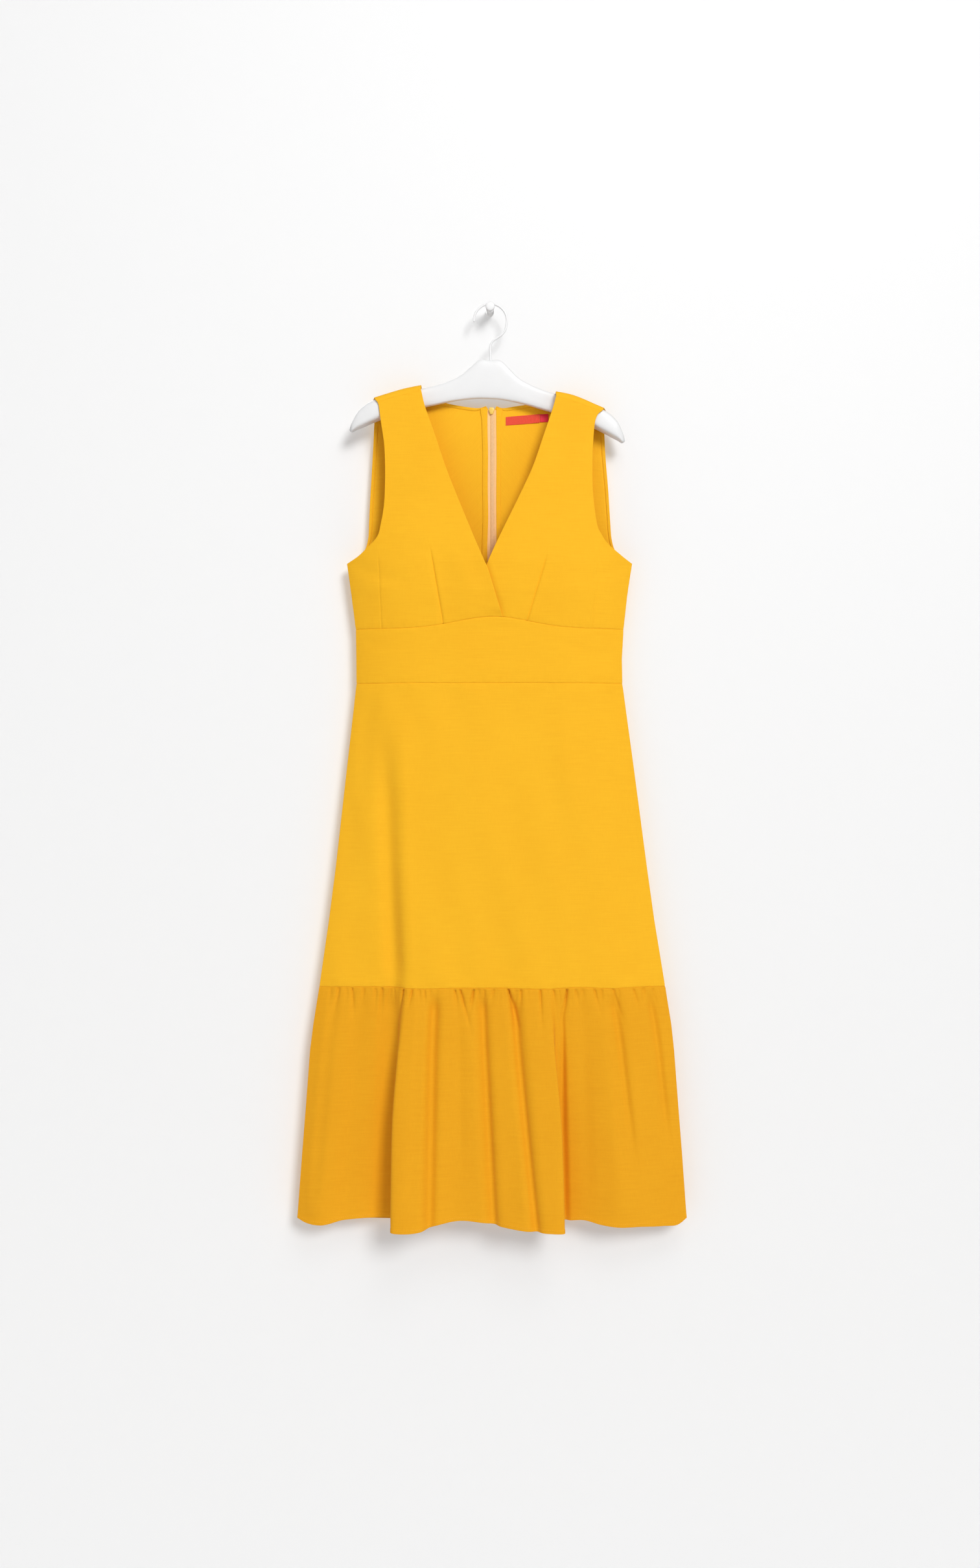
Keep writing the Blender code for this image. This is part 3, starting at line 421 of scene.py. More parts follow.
# Soft creases: from one point to another on the panel, how high (a trough is below 0), how wide
#            x from   z from    x to    z to    high  wide
BODICE_FRONT_CREASES = (
    (-205.0, -402.0, -130.0, -428.0, -0.9, 10.0),
    (-200.0, -430.0, -150.0, -440.0, 0.6, 12.0),
    (-150.0, -230.0, -70.0, -300.0, 0.8, 26.0),
    (-100.0, -330.0, -60.0, -440.0, -0.7, 20.0),
    (-60.0, -380.0, -5.0, -460.0, 0.7, 18.0),
    (208.0, -404.0, 140.0, -430.0, -0.9, 10.0),
    (150.0, -225.0, 80.0, -300.0, 0.8, 24.0),
    (150.0, -330.0, 110.0, -420.0, -0.7, 22.0),
    (60.0, -380.0, 30.0, -470.0, 0.6, 18.0),
)
BODICE_BACK_CREASES = (
    (-190.0, -400.0, -110.0, -440.0, -1.0, 12.0),
    (-150.0, -230.0, -50.0, -320.0, 0.9, 26.0),
    (-120.0, -360.0, -40.0, -470.0, -0.8, 18.0),
    (195.0, -405.0, 120.0, -436.0, -1.0, 12.0),
    (145.0, -240.0, 60.0, -330.0, 0.9, 24.0),
    (110.0, -350.0, 55.0, -475.0, -0.8, 18.0),
)
SKIRT_FRONT_CREASES = (
    (-176.0, -585.0, -196.0, -760.0, -1.2, 14.0),
    (-120.0, -586.0, -126.0, -700.0, 0.8, 16.0),
    (-60.0, -584.0, -66.0, -740.0, -0.7, 14.0),
    (20.0, -584.0, 22.0, -690.0, 0.6, 18.0),
    (96.0, -584.0, 108.0, -780.0, -0.8, 16.0),
    (160.0, -584.0, 184.0, -830.0, 1.0, 18.0),
    (190.0, -720.0, 214.0, -990.0, -1.2, 16.0),
    (60.0, -900.0, 66.0, -1050.0, 0.9, 22.0),
    (-40.0, -940.0, -44.0, -1050.0, -0.9, 18.0),
    (140.0, -950.0, 148.0, -1050.0, -0.8, 16.0),
    (-222.0, -900.0, -236.0, -1050.0, 1.4, 16.0),
)
SKIRT_BACK_CREASES = (
    (-150.0, -590.0, -176.0, -800.0, -1.3, 15.0),
    (-80.0, -590.0, -92.0, -760.0, 1.0, 16.0),
    (-190.0, -760.0, -214.0, -1050.0, 1.4, 18.0),
    (-60.0, -860.0, -66.0, -1050.0, -1.4, 18.0),
    (70.0, -590.0, 84.0, -780.0, -1.0, 14.0),
    (150.0, -590.0, 178.0, -860.0, 1.2, 17.0),
    (120.0, -880.0, 130.0, -1050.0, -1.5, 18.0),
    (206.0, -800.0, 226.0, -1050.0, -1.2, 16.0),
)
MIDRIFF_CREASES = (
    (-190.0, -520.0, -120.0, -532.0, -0.4, 8.0),
    (-20.0, -560.0, 60.0, -554.0, 0.4, 12.0),
    (110.0, -520.0, 190.0, -540.0, -0.5, 9.0),
)

# Camera: one photo pixel is one millimetre at CAMERA_FOCUS in front of the wall
PHOTO_SIZE = (1512.0, 2420.0)
CAMERA_AWAY = 2600.0
CAMERA_HEIGHT = -738.8
CAMERA_FOCUS = 40.0
SENSOR_HEIGHT = 36.0


def srgb(red, green, blue):
    """A display colour of 0 to 255 as the linear colour that a shader takes."""
    shown = np.array([red, green, blue]) / 255
    linear = np.where(shown <= 0.04045, shown / 12.92, ((shown + 0.055) / 1.055) ** 2.4)
    return (*linear.tolist(), 1.0)


def smooth_through(knots, values, at):
    """A smooth curve through the knots: a cubic between each two, level with their mean slope."""
    knots = np.asarray(knots, float)
    values = np.asarray(values, float)
    slopes = np.gradient(values, knots)
    at = np.clip(np.asarray(at, float), knots[0], knots[-1])
    span = np.clip(np.searchsorted(knots, at, side="right") - 1, 0, len(knots) - 2)
    width = knots[span + 1] - knots[span]
    t = (at - knots[span]) / width
    start = values[span] * (2 * t**3 - 3 * t**2 + 1) + values[span + 1] * (3 * t**2 - 2 * t**3)
    return start + width * (
        slopes[span] * (t**3 - 2 * t**2 + t) + slopes[span + 1] * (t**3 - t**2)
    )


def ease(x):
    """0 below 0, 1 above 1 and a soft S between."""
    x = np.clip(x, 0.0, 1.0)
    return x * x * (3 - 2 * x)


def swing(x):
    """A soft step from 0 to 1 around x = 0."""
    return 0.5 * (1 + np.tanh(1.5 * x))


def bell(x):
    """1 at 0, falling smoothly to nothing within about 2 on either side."""
    return np.exp(-np.square(x))


def body_column(column, z):
    """A column of the BODY table at each height."""
    table = np.array(BODY)[::-1]
    return np.interp(z, table[:, 0], table[:, column])


def left_edge(z):
    """The dress's edge at the viewer's left."""
    return body_column(1, z)


def right_edge(z):
    """The dress's edge at the viewer's right."""
    return body_column(2, z)


def roundness(x, z):
    """1 over the middle of the flattened dress, falling to 0 at its side seams."""
    middle = (left_edge(z) + right_edge(z)) / 2
    half = (right_edge(z) - left_edge(z)) / 2
    return np.clip(1 - ((x - middle) / half) ** 4, 0.0, 1.0)


def fold_line(z):
    """How far down the skirt's fold a height is, as a share, and where the fold runs there."""
    down = (z - SKIRT_FOLD_TOP[0]) / (SKIRT_FOLD_FOOT[0] - SKIRT_FOLD_TOP[0])
    return down, SKIRT_FOLD_TOP[1] + (SKIRT_FOLD_FOOT[1] - SKIRT_FOLD_TOP[1]) * np.clip(down, 0, 1)


def skirt_fold(x, z):
    """How far the skirt lies back, to the viewer's left of its soft fold."""
    down, fold_x = fold_line(z)
    return SKIRT_FOLD_DROP * ease(down) * ease((fold_x + SKIRT_FOLD_AHEAD - x) / SKIRT_FOLD_WIDTH)


def fold_trough(x, z):
    """The bells of FOLD_TROUGH beside the fold, which grow below the midriff and flatten at the frill."""
    down, fold_x = fold_line(z)
    trough = sum(high * bell((x - fold_x - beside) / wide) for beside, high, wide in FOLD_TROUGH)
    start = ease((down - FOLD_TROUGH_STARTS["at"]) / FOLD_TROUGH_STARTS["over"])
    end = ease((down - FOLD_TROUGH_FADES["at"]) / FOLD_TROUGH_FADES["over"])
    return trough * start * (1 - FOLD_TROUGH_FADES["by"] * end)


def front_depth(x, z):
    """Inner face of the front: seam depth plus the rounded rise, less the skirt's fold."""
    seam = body_column(3, z) + GAP / 2
    rise = body_column(4, z) - seam - skirt_fold(x, z)
    return seam + rise * roundness(x, z)


def back_depth(x, z):
    """Inner face of the back, which falls from the seam's depth towards the wall."""
    seam = body_column(3, z) - GAP / 2
    return seam - (seam - body_column(5, z)) * roundness(x, z)


def midriff_top(x):
    """The seam under the bust, which rises in a low bell at the middle of the front."""
    return MIDRIFF_TOP + MIDRIFF_RISE * np.exp(
        -(((x - MIDRIFF_RISE_AT) / MIDRIFF_RISE_SPREAD) ** 2) / 2
    )


def grid_of(x, depth, z):
    """Rows by columns of points from arrays of x, depth and z, all in millimetres."""
    return np.stack(np.broadcast_arrays(x, -depth, z), axis=-1)


def graded(length, start, end, step):
    """Shares from 0 to 1 along a length: at the given distances from each end, and evenly between."""
    start = np.asarray(start)
    end = np.asarray(end)
    count = max(2, round((length - start[-1] - end[-1]) / step))
    middle = np.linspace(start[-1], length - end[-1], count + 1)
    return np.concatenate([start[:-1], middle, length - end[-2::-1]]) / length


# Distances from a rolled edge at which the cloth has a line of points
ROLL = (0.0, 0.1, 0.35, 0.8, 1.8)
HEM_ROLL = (0.0, 0.1, 0.35, 0.8, 2.0, 3.6, 5.0, 6.2)
HEM_STITCH_ROW = 6
HEM_STEP = {"high": 0.4, "at": 5.6, "wide": 0.6}


def cross_unit(a, b):
    """Unit vectors square to both a and b."""
    made = np.cross(a, b)
    return made / np.maximum(np.linalg.norm(made, axis=-1, keepdims=True), 1e-9)


def out_of(points, faces_front):
    """The unit direction out of the cloth at each point of a grid."""
    down = np.gradient(points, axis=0)
    across = np.gradient(points, axis=1)
    return cross_unit(down, across) if faces_front else cross_unit(across, down)


def run_lengths(points, axis):
    """How far each point is along its row or column, from the first one."""
    steps = np.linalg.norm(np.diff(points, axis=axis), axis=-1)
    start = np.zeros_like(np.take(steps, [0], axis=axis))
    return np.concatenate([start, np.cumsum(steps, axis=axis)], axis=axis)


class Edges:
    """Distances in millimetres from each point of a panel's grid to its four edges."""

    def __init__(self, points):
        """Distances run along the grid's own rows and columns."""
        self.from_left = run_lengths(points, 1)
        self.from_right = self.from_left[:, -1:] - self.from_left
        self.from_top = run_lengths(points, 0)
        self.from_foot = self.from_top[-1:] - self.from_top

    def nearest(self):
        """Distance to the closest of the four."""
        sides = np.minimum(self.from_left, self.from_right)
        return np.minimum(sides, np.minimum(self.from_top, self.from_foot))


def ripple(seed, along, lengths, count=5):
    """A sum of sines of uneven wavelengths, from a seeded draw, that stays within about -1 and 1."""
    draw = np.random.default_rng(seed)
    total = 0.0
    for size in draw.uniform(*lengths, count):
        total = total + np.sin(2 * math.pi * (along / size + draw.random()))
    return total / math.sqrt(count)


def billows(seed, x, z, lengths, count=6):
    """Soft waves across a panel: sines in seeded directions, mostly up and down the cloth."""
    draw = np.random.default_rng(seed)
    total = 0.0
    for size in draw.uniform(*lengths, count):
        turn = draw.normal(0.0, 0.5)
        along = x * math.cos(turn) + z * math.sin(turn)
        total = total + np.sin(2 * math.pi * (along / size + draw.random()))
    return total / math.sqrt(count)


# Soft waves over the panels: how high, how long, and how far in from an edge they are full
WAVES = {
    "bodice_front": {"high": 0.35, "lengths": (70.0, 190.0), "full": 12.0},
    "bodice_back": {"high": 0.4, "lengths": (60.0, 170.0), "full": 14.0},
    "midriff": {"high": 0.3, "lengths": (60.0, 150.0), "full": 15.0},
    "skirt": {"high": 0.9, "lengths": (60.0, 180.0), "full": 20.0},
}


def panel_waves(sort, seed, x, z, edges):
    """The soft waves of one sort of panel: billows that grow from nothing at its edges."""
    waves = WAVES[sort]
    calm = ease(edges.nearest() / waves["full"])
    return waves["high"] * billows(seed, x, z, waves["lengths"]) * calm


def waver(seed, along, distance, high, lengths, reach):
    """A ripple along an edge that dies away exponentially with the distance from it."""
    return high * ripple(seed, along, lengths) * np.exp(-distance / reach)


# How the cloth dips into a seam: a sharp bell in a soft one
#    deep  wide
SEAM_DIPS = ((0.4, 0.9), (0.35, 4.5))


def seam_relief(seed, distance, along, puckers=0.28, deep=1.0):
    """Cloth that dips into a seam, with small puckers that fade away from it."""
    dip = -deep * sum(low * bell(distance / wide) for low, wide in SEAM_DIPS)
    pull = waver(seed, along, distance, high=puckers, lengths=(7.0, 26.0), reach=7.0)
    return dip + pull * (1 - bell(distance))


CREASE_BEND = 0.04


def crease_relief(table, x, z):
    """Soft troughs and ridges: a bell across each slightly bent line, thinned out at its two ends."""
    relief = np.zeros(np.broadcast(x, z).shape)
    for x_from, z_from, x_to, z_to, high, wide in table:
        line = np.array([x_to - x_from, z_to - z_from])
        length = np.hypot(*line)
        along = ((x - x_from) * line[0] + (z - z_from) * line[1]) / length
        bend = CREASE_BEND * length * np.sin(math.pi * np.clip(along / length, 0, 1))
        across = ((x - x_from) * line[1] - (z - z_from) * line[0]) / length - bend
        reach = ease((along + wide) / (2 * wide)) * ease((length + wide - along) / (2 * wide))
        relief = relief + high * bell(across / wide) * reach
    return relief


def tube_faces(rings, around):
    """Quads round a tube of closed rings."""
    corner = np.arange(rings * around).reshape(rings, around)
    beside = np.roll(corner, -1, axis=1)
    return np.stack([corner[:-1], corner[1:], beside[1:], beside[:-1]], axis=-1).reshape(-1, 4)


def rounded_square(wave, squareness):
    """A sine or cosine pushed out towards a square's side, by its power of 2 over squareness."""
    return np.sign(wave) * np.abs(wave) ** (2 / squareness)


def closed_faces(rows, columns, faces_front):
    """Quads of a shell whose outer and inner grids share their rim."""
    count = rows * columns
    outer = np.arange(count).reshape(rows, columns)
    inner = outer + count
    inner[0], inner[-1] = outer[0], outer[-1]
    inner[:, 0], inner[:, -1] = outer[:, 0], outer[:, -1]

    def quads(corner):
        """One face for each cell of a grid."""
        return np.stack(
            [corner[:-1, :-1], corner[1:, :-1], corner[1:, 1:], corner[:-1, 1:]], axis=-1
        ).reshape(-1, 4)

    shown, hidden = quads(outer), quads(inner)[:, ::-1]
    faces = np.concatenate([shown, hidden])
    return faces if faces_front else faces[:, ::-1]


def dressed(mesh, finish, body, nodes):
    """The piece of a mesh: smooth, in its finish, riding on its body in place of its nodes."""
    mesh.shade_smooth()
    mesh.materials.append(finish)
    made = bpy.data.objects.new(mesh.name, mesh)
    bpy.context.scene.collection.objects.link(made)
    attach(made, body)
    if nodes:
        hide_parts(*nodes)
    return made


def new_piece(name, points, faces, finish, body=BODY_OF_CLOTH, nodes=(), weave=None):
    """A piece from points in millimetres; weave is its thread map, in metres along and across."""
    points = np.asarray(points, float).reshape(-1, 3)
    faces = np.asarray(faces)
    used, corner = np.unique(faces, return_inverse=True)
    corner = corner.reshape(faces.shape)
    mesh = bpy.data.meshes.new(name)
    mesh.from_pydata((points[used] * MM).tolist(), [], corner.tolist())
    if weave is not None:
        layer = mesh.uv_layers.new(name="weave")
        layer.data.foreach_set("uv", weave.reshape(-1, 2)[faces.ravel()].ravel())
    return dressed(mesh, finish, body, nodes)


def add_cloth(name, base, relief, faces_front, finish, nodes, thick=CLOTH, threads=None):
    """A shell of cloth with rolled edges.

    base is the inner face's grid and relief how far each point moves out of the cloth.
    Half the thickness lies on each side of the middle, and shrinks to nothing along a
    quarter circle at the edges. Returns the piece, its outer grid and its directions.
    """
    out = out_of(base, faces_front)
    edge = Edges(base).nearest()
    half = thick / 2 * np.sqrt(1 - np.square(1 - np.clip(edge / SIDE_ROLL, 0, 1)))
    middle = base + out * (relief + thick / 2)[..., None]
    outer = middle + out * half[..., None]
    inner = middle - out * half[..., None]
    if threads is None:
        threads = np.stack([base[..., 0], base[..., 2]], axis=-1)
    threads = np.broadcast_to(threads, (*base.shape[:2], 2)) * MM
    rows, columns = base.shape[:2]
    piece = new_piece(
        name,
        np.concatenate([outer.reshape(-1, 3), inner.reshape(-1, 3)]),
        closed_faces(rows, columns, faces_front),
        finish,
        nodes=nodes,
        weave=np.concatenate([threads.reshape(-1, 2)] * 2),
    )
    return piece, outer, inner, out_of(outer, faces_front)


STITCH_LENGTH = 2.7
STITCH_GAP = 0.7
STITCH_RADIUS = 0.26
STITCH_ENDS = 0.25
STITCH_RINGS = 4
STITCH_SIDES = 5


def stitch_shape():
    """One stitch along x: a spindle whose middle stands proud and whose ends sink into the cloth."""
    along = np.linspace(-1, 1, STITCH_RINGS)[:, None]
    turn = np.linspace(0, 2 * math.pi, STITCH_SIDES, endpoint=False)[None, :]
    thick = STITCH_RADIUS * (STITCH_ENDS + (1 - STITCH_ENDS) * np.sqrt(1 - 0.9 * along**2))
    return np.stack(
        [
            along * STITCH_LENGTH / 2 + 0 * turn,
            thick * np.cos(turn),
            thick * np.sin(turn) - STITCH_RADIUS * (along**2 - 0.1),
        ],
        axis=-1,
    )


def stitches_along(line, out):
    """Points and faces of a row of stitches laid along a line of points, standing out of the cloth."""
    along = np.concatenate([[0], np.cumsum(np.linalg.norm(np.diff(line, axis=0), axis=1))])
    at = np.arange(STITCH_LENGTH, along[-1] - STITCH_LENGTH, STITCH_LENGTH + STITCH_GAP)
    place = np.stack([np.interp(at, along, line[:, k]) for k in range(3)], axis=1)
    ahead = np.stack([np.interp(at + 0.5, along, line[:, k]) for k in range(3)], axis=1) - place
    up = np.stack([np.interp(at, along, out[:, k]) for k in range(3)], axis=1)
    ahead = ahead / np.linalg.norm(ahead, axis=1, keepdims=True)
    side = cross_unit(up, ahead)
    up = cross_unit(ahead, side)
    axes = np.stack([ahead, side, up], axis=1)
    shape = stitch_shape().reshape(-1, 3)
    points = np.einsum("vi,sij->svj", shape, axes) + place[:, None, :]
    starts = np.arange(len(at)) * len(shape)
    faces = tube_faces(STITCH_RINGS, STITCH_SIDES)[None] + starts[:, None, None]
    return points.reshape(-1, 3), faces.reshape(-1, 4)


def add_stitches(name, rows, finish):
    """All the rows of stitches of one sort as one piece; each row is its line and directions."""
    points, faces, start = [], [], 0
    for line, out in rows:
        row_points, row_faces = stitches_along(line, out)
        points.append(row_points)
        faces.append(row_faces + start)
        start += len(row_points)
    return new_piece(name, np.concatenate(points), np.concatenate(faces), finish)


def panel_rows(blocks, shares):
    """Side and inner points of each row of a bodice panel, smooth within each block."""
    runs = []
    for block, at in zip(blocks, shares):
        table = np.array(block)
        knots = np.arange(len(table))
        at = np.asarray(at) * (len(table) - 1)
        run = np.stack([smooth_through(knots, table[:, k], at) for k in range(4)], axis=-1)
        runs.append(run if not runs else run[1:])
    return np.concatenate(runs)


def panel_grid(rows, shares, seam_line, last):
    """A bodice panel: straight rows between its two edges, with its foot on the seam.

    shares is rows by columns, each point's share of the way from side to inner edge, and
    last is how many rows at the foot ease onto the seam.
    """
    ends = rows[:, None, :]
    x = ends[..., 0] + (ends[..., 2] - ends[..., 0]) * shares
    z = ends[..., 1] + (ends[..., 3] - ends[..., 1]) * shares
    drop = (rows[-last:, 1] - rows[-last, 1]) / (rows[-1, 1] - rows[-last, 1])
    weight = np.concatenate([np.zeros(len(rows) - last), ease(drop)])[:, None]
    z = z + (seam_line(x) + SEAM / 2 - z[-1]) * weight
    return x, z


def dart_x(dart, z):
    """Where a dart's line is at each height."""
    tip_x, tip_z, seam_x, _ = dart
    return tip_x + (seam_x - tip_x) * (z - tip_z) / (MIDRIFF_TOP - tip_z)


DART_MARKS = (0.0, 0.2, 0.6, 1.0)
DART_LEAN_OVER = 60.0


def dart_shares(darts, rows, plain):
    """Column shares that lean, from DART_LEAN_OVER above each tip, to run down the two darts."""
    places = np.tile(DART_MARKS, (len(rows), 1))
    side_x, side_z, inner_x, inner_z = rows.T
    for k, dart in enumerate(darts, 1):
        z = side_z + (inner_z - side_z) * DART_MARKS[k]
        on_line = (dart_x(dart, z) - side_x) / (inner_x - side_x)
        below = ease((dart[1] + DART_LEAN_OVER - z) / DART_LEAN_OVER)
        places[:, k] = DART_MARKS[k] + (on_line - DART_MARKS[k]) * below
    return np.stack([np.interp(plain, DART_MARKS, row) for row in places])


def dart_relief(darts, x, z):
    """Sewn darts: the bells of DART_PROFILE, gone at the tip, where the cloth swells a little."""
    relief = np.zeros_like(z)
    for dart in darts:
        tip_z, strength = dart[1], dart[3]
        down = (z - tip_z) / (MIDRIFF_TOP - tip_z)
        across = x - dart_x(dart, z)
        for high, beside, wide, soon in DART_PROFILE:
            relief = relief + strength * high * ease(soon * down) * bell((across - beside) / wide)
        swell = bell(across / DART_SWELL["wide"])
        swell = swell * bell((z - tip_z - DART_SWELL["above"]) / DART_SWELL["tall"])
        relief = relief + strength * DART_SWELL["high"] * swell
    return relief


# Shares of a front's width at which it has columns beside a dart and at a rim
DART_LINES = np.array([-0.012, -0.008, -0.005, -0.0025, 0.0, 0.0025, 0.005, 0.008, 0.012])
RIM_LINES = np.array([0.0, 0.0006, 0.002, 0.005, 0.011])
EVEN_COLUMNS = {"first": 0.02, "count": 92, "clear": 0.004}


def front_columns():
    """Column shares of a bodice front, crowded at its rims and down its two darts."""
    first = EVEN_COLUMNS["first"]
    even = np.linspace(first, 1 - first, EVEN_COLUMNS["count"])
    near = np.concatenate([mark + DART_LINES for mark in DART_MARKS[1:3]])
    clear = np.abs(even[:, None] - near[None, :]).min(axis=1) > EVEN_COLUMNS["clear"]
    return np.sort(np.concatenate([RIM_LINES, even[clear], near, 1 - RIM_LINES]))


# The lap of the fronts: x and height of the upper front's edge where it crosses and at its foot
LAP_TOP = (-13.0, -386.0)
LAP_FOOT = (19.6, -481.5)
LAP_SINK = {"deep": 1.4, "edge": 5.0, "above": 14.0, "over": 30.0}
LAP_ACROSS = {"from": -75.0, "over": 45.0}
LAP_DOWN = {"from": -250.0, "over": 100.0}
LAP_PRESSED = {"to": 0.25, "within": 18.0}
LAP_LIFT = {"high": 1.8, "wide": 14.0, "from": -350.0, "over": 40.0, "foot": 14.0}


def under_lap(x, z):
    """How far the cloth beneath sinks under the lapped edge and just beyond it."""
    run = (LAP_FOOT[0] - LAP_TOP[0]) / (LAP_FOOT[1] - LAP_TOP[1])
    beyond = x - LAP_TOP[0] - run * (z - LAP_TOP[1])
    below = ease((LAP_TOP[1] + LAP_SINK["above"] - z) / LAP_SINK["over"])
    return LAP_SINK["deep"] * swing((LAP_SINK["edge"] - beyond) / LAP_SINK["edge"]) * below


def lap_over(x, z):
    """How far the upper front lies over the lower one; the seam at its foot presses it flat."""
    clear = ease((z - midriff_top(x)) / LAP_PRESSED["within"])
    pressed = LAP_PRESSED["to"] + (1 - LAP_PRESSED["to"]) * clear
    across = ease((x - LAP_ACROSS["from"]) / LAP_ACROSS["over"])
    return LAP * across * ease((LAP_DOWN["from"] - z) / LAP_DOWN["over"]) * pressed


def lap_lift(inner, z, from_foot):
    """How far the upper front's free edge stands up from the lower one."""
    edge = bell(inner / LAP_LIFT["wide"]) * ease((LAP_LIFT["from"] - z) / LAP_LIFT["over"])
    return LAP_LIFT["high"] * (edge * ease(from_foot / LAP_LIFT["foot"]))


# The straps' outer corners, and how far out each is pulled
#    x       z       out
STRAP_CORNERS = ((-176.0, -143.0, -6.0), (171.0, -159.0, 6.0))
CORNER_DROP = 2.2
CORNER_WIDE = 16.0
CORNER_TALL = 6.5


def strap_flare(x, z):
    """The straps' outer corners, pulled out along the hanger where they cross it."""
    out, near = np.zeros_like(x), np.zeros_like(x)
    for corner_x, corner_z, far in STRAP_CORNERS:
        close = bell((z - corner_z) / CORNER_TALL) * ease(1 - np.abs(x - corner_x) / CORNER_WIDE)
        out = out + far * close
        near = near + close
    return x + out, z - CORNER_DROP * near


# About how long a bodice panel is down its armhole, below it, and over the hanger
ARMHOLE_RUN = 265.0
BUST_RUN = 100.0
SHOULDER_RUN = 70.0
UNDERARM = -388.0


def add_bodice_fronts(linen):
    """The two wrapped fronts; the wearer's right one lies on top."""
    made = []
    for name, blocks, darts, side, seed in (
        ("bodice_front_right", FRONT_RIGHT, DARTS_RIGHT, 1, 11),
        ("bodice_front_left", FRONT_LEFT, DARTS_LEFT, -1, 12),
    ):
        heights = (
            graded(ARMHOLE_RUN, ROLL, (0.0, 2.6), step=2.6),
            graded(BUST_RUN, (0.0, 2.4), ROLL, step=2.4),
        )
        rows = panel_rows(blocks, heights)
        shares = dart_shares(darts, rows, front_columns())
        x, z = panel_grid(rows, shares, midriff_top, len(heights[1]))
        over = lap_over(x, z) if side > 0 else 0.0
        depth = front_depth(x, z) + over
        x, z = strap_flare(x, z)
        base = grid_of(x, depth, z)
        relief = dart_relief(darts, x, z)
        if side < 0:
            base, relief, x, z = base[:, ::-1], relief[:, ::-1], x[:, ::-1], z[:, ::-1]
        edges = Edges(base)
        inner = edges.from_right if side > 0 else edges.from_left
        armhole = edges.from_left if side > 0 else edges.from_right
        relief = relief + seam_relief(seed, edges.from_foot, x)
        relief = relief + seam_relief(seed + 20, edges.from_top, x, 0.1, 0.3)
        if side > 0:
            relief = relief + lap_lift(inner, z, edges.from_foot)
        else:
            relief = relief - under_lap(x, z)
        relief = relief + crease_relief(BODICE_FRONT_CREASES, x, z)
        relief = relief + panel_waves("bodice_front", seed, x, z, edges)
        relief = relief + waver(seed + 40, z, inner, high=0.08, lengths=(16.0, 60.0), reach=9.0)
        relief = relief + waver(seed + 60, z, armhole, high=0.12, lengths=(12.0, 40.0), reach=8.0)
        piece, *_ = add_cloth(name + "_cloth", base, relief, True, linen, [name])
        made.append(piece)
    return made


def shoulder_wrap(x, z, front_x, front_z, steps):
    """Rows that carry the top of a back panel over the hanger to the shoulder seam.

    Each is a step round half a rounded square, from the top of the front panel up over
    the crest and down to the first row of the back panel.
    """
    crest = np.array(SHOULDER_CREST)
    angle = (math.pi * steps)[:, None]
    across = rounded_square(np.cos(angle), SHOULDER_SQUARENESS)
    rise = rounded_square(np.sin(angle), SHOULDER_SQUARENESS)
    forward = (1 + across) / 2
    back = back_depth(x, z)
    depth = back + (front_depth(front_x, front_z) - back) * forward
    wrap_x = x + (front_x - x) * forward
    foot = z + (front_z + SHOULDER_SEAM - z) * forward
    top = smooth_through(crest[:, 0], crest[:, 1], wrap_x) - CLOTH
    return wrap_x, depth, foot + (top - foot) * rise


# Distances from a back's side and neck at which it has columns, and the one that is stitched
BACK_EDGE_LINES = (0.0, 0.1, 0.35, 0.8, 2.4, 4.5, 6.0, 6.7, 7.1, 7.5, 8.2, 9.4)
BACK_STITCH_LINE = 5
# How many rows above the midriff's seam the stitches end
BACK_STITCHES_END = 6
# The strip turned in along the back's edges, as relief on its outside
FACING_EDGE = 7.1
FACING_STEP = {"high": -0.5, "wide": 0.5}
FACING_LINE = {"high": 0.7, "beyond": 0.2, "wide": 0.6}


def facing_relief(edge):
    """The strip turned in along an edge: a step out on the inside, which ends in a sharp line."""
    step = FACING_STEP["high"] * swing((FACING_EDGE - edge) / FACING_STEP["wide"])
    beyond = edge - FACING_EDGE - FACING_LINE["beyond"]
    return step + FACING_LINE["high"] * bell(beyond / FACING_LINE["wide"])


def back_columns(width, even=56):
    """Column shares of one row of a back: at BACK_EDGE_LINES from both ends, and evenly between."""
    lines = np.array(BACK_EDGE_LINES)
    middle = np.linspace(lines[-1], width - lines[-1], even)
    return np.concatenate([lines[:-1], middle, width - lines[-2::-1]]) / width


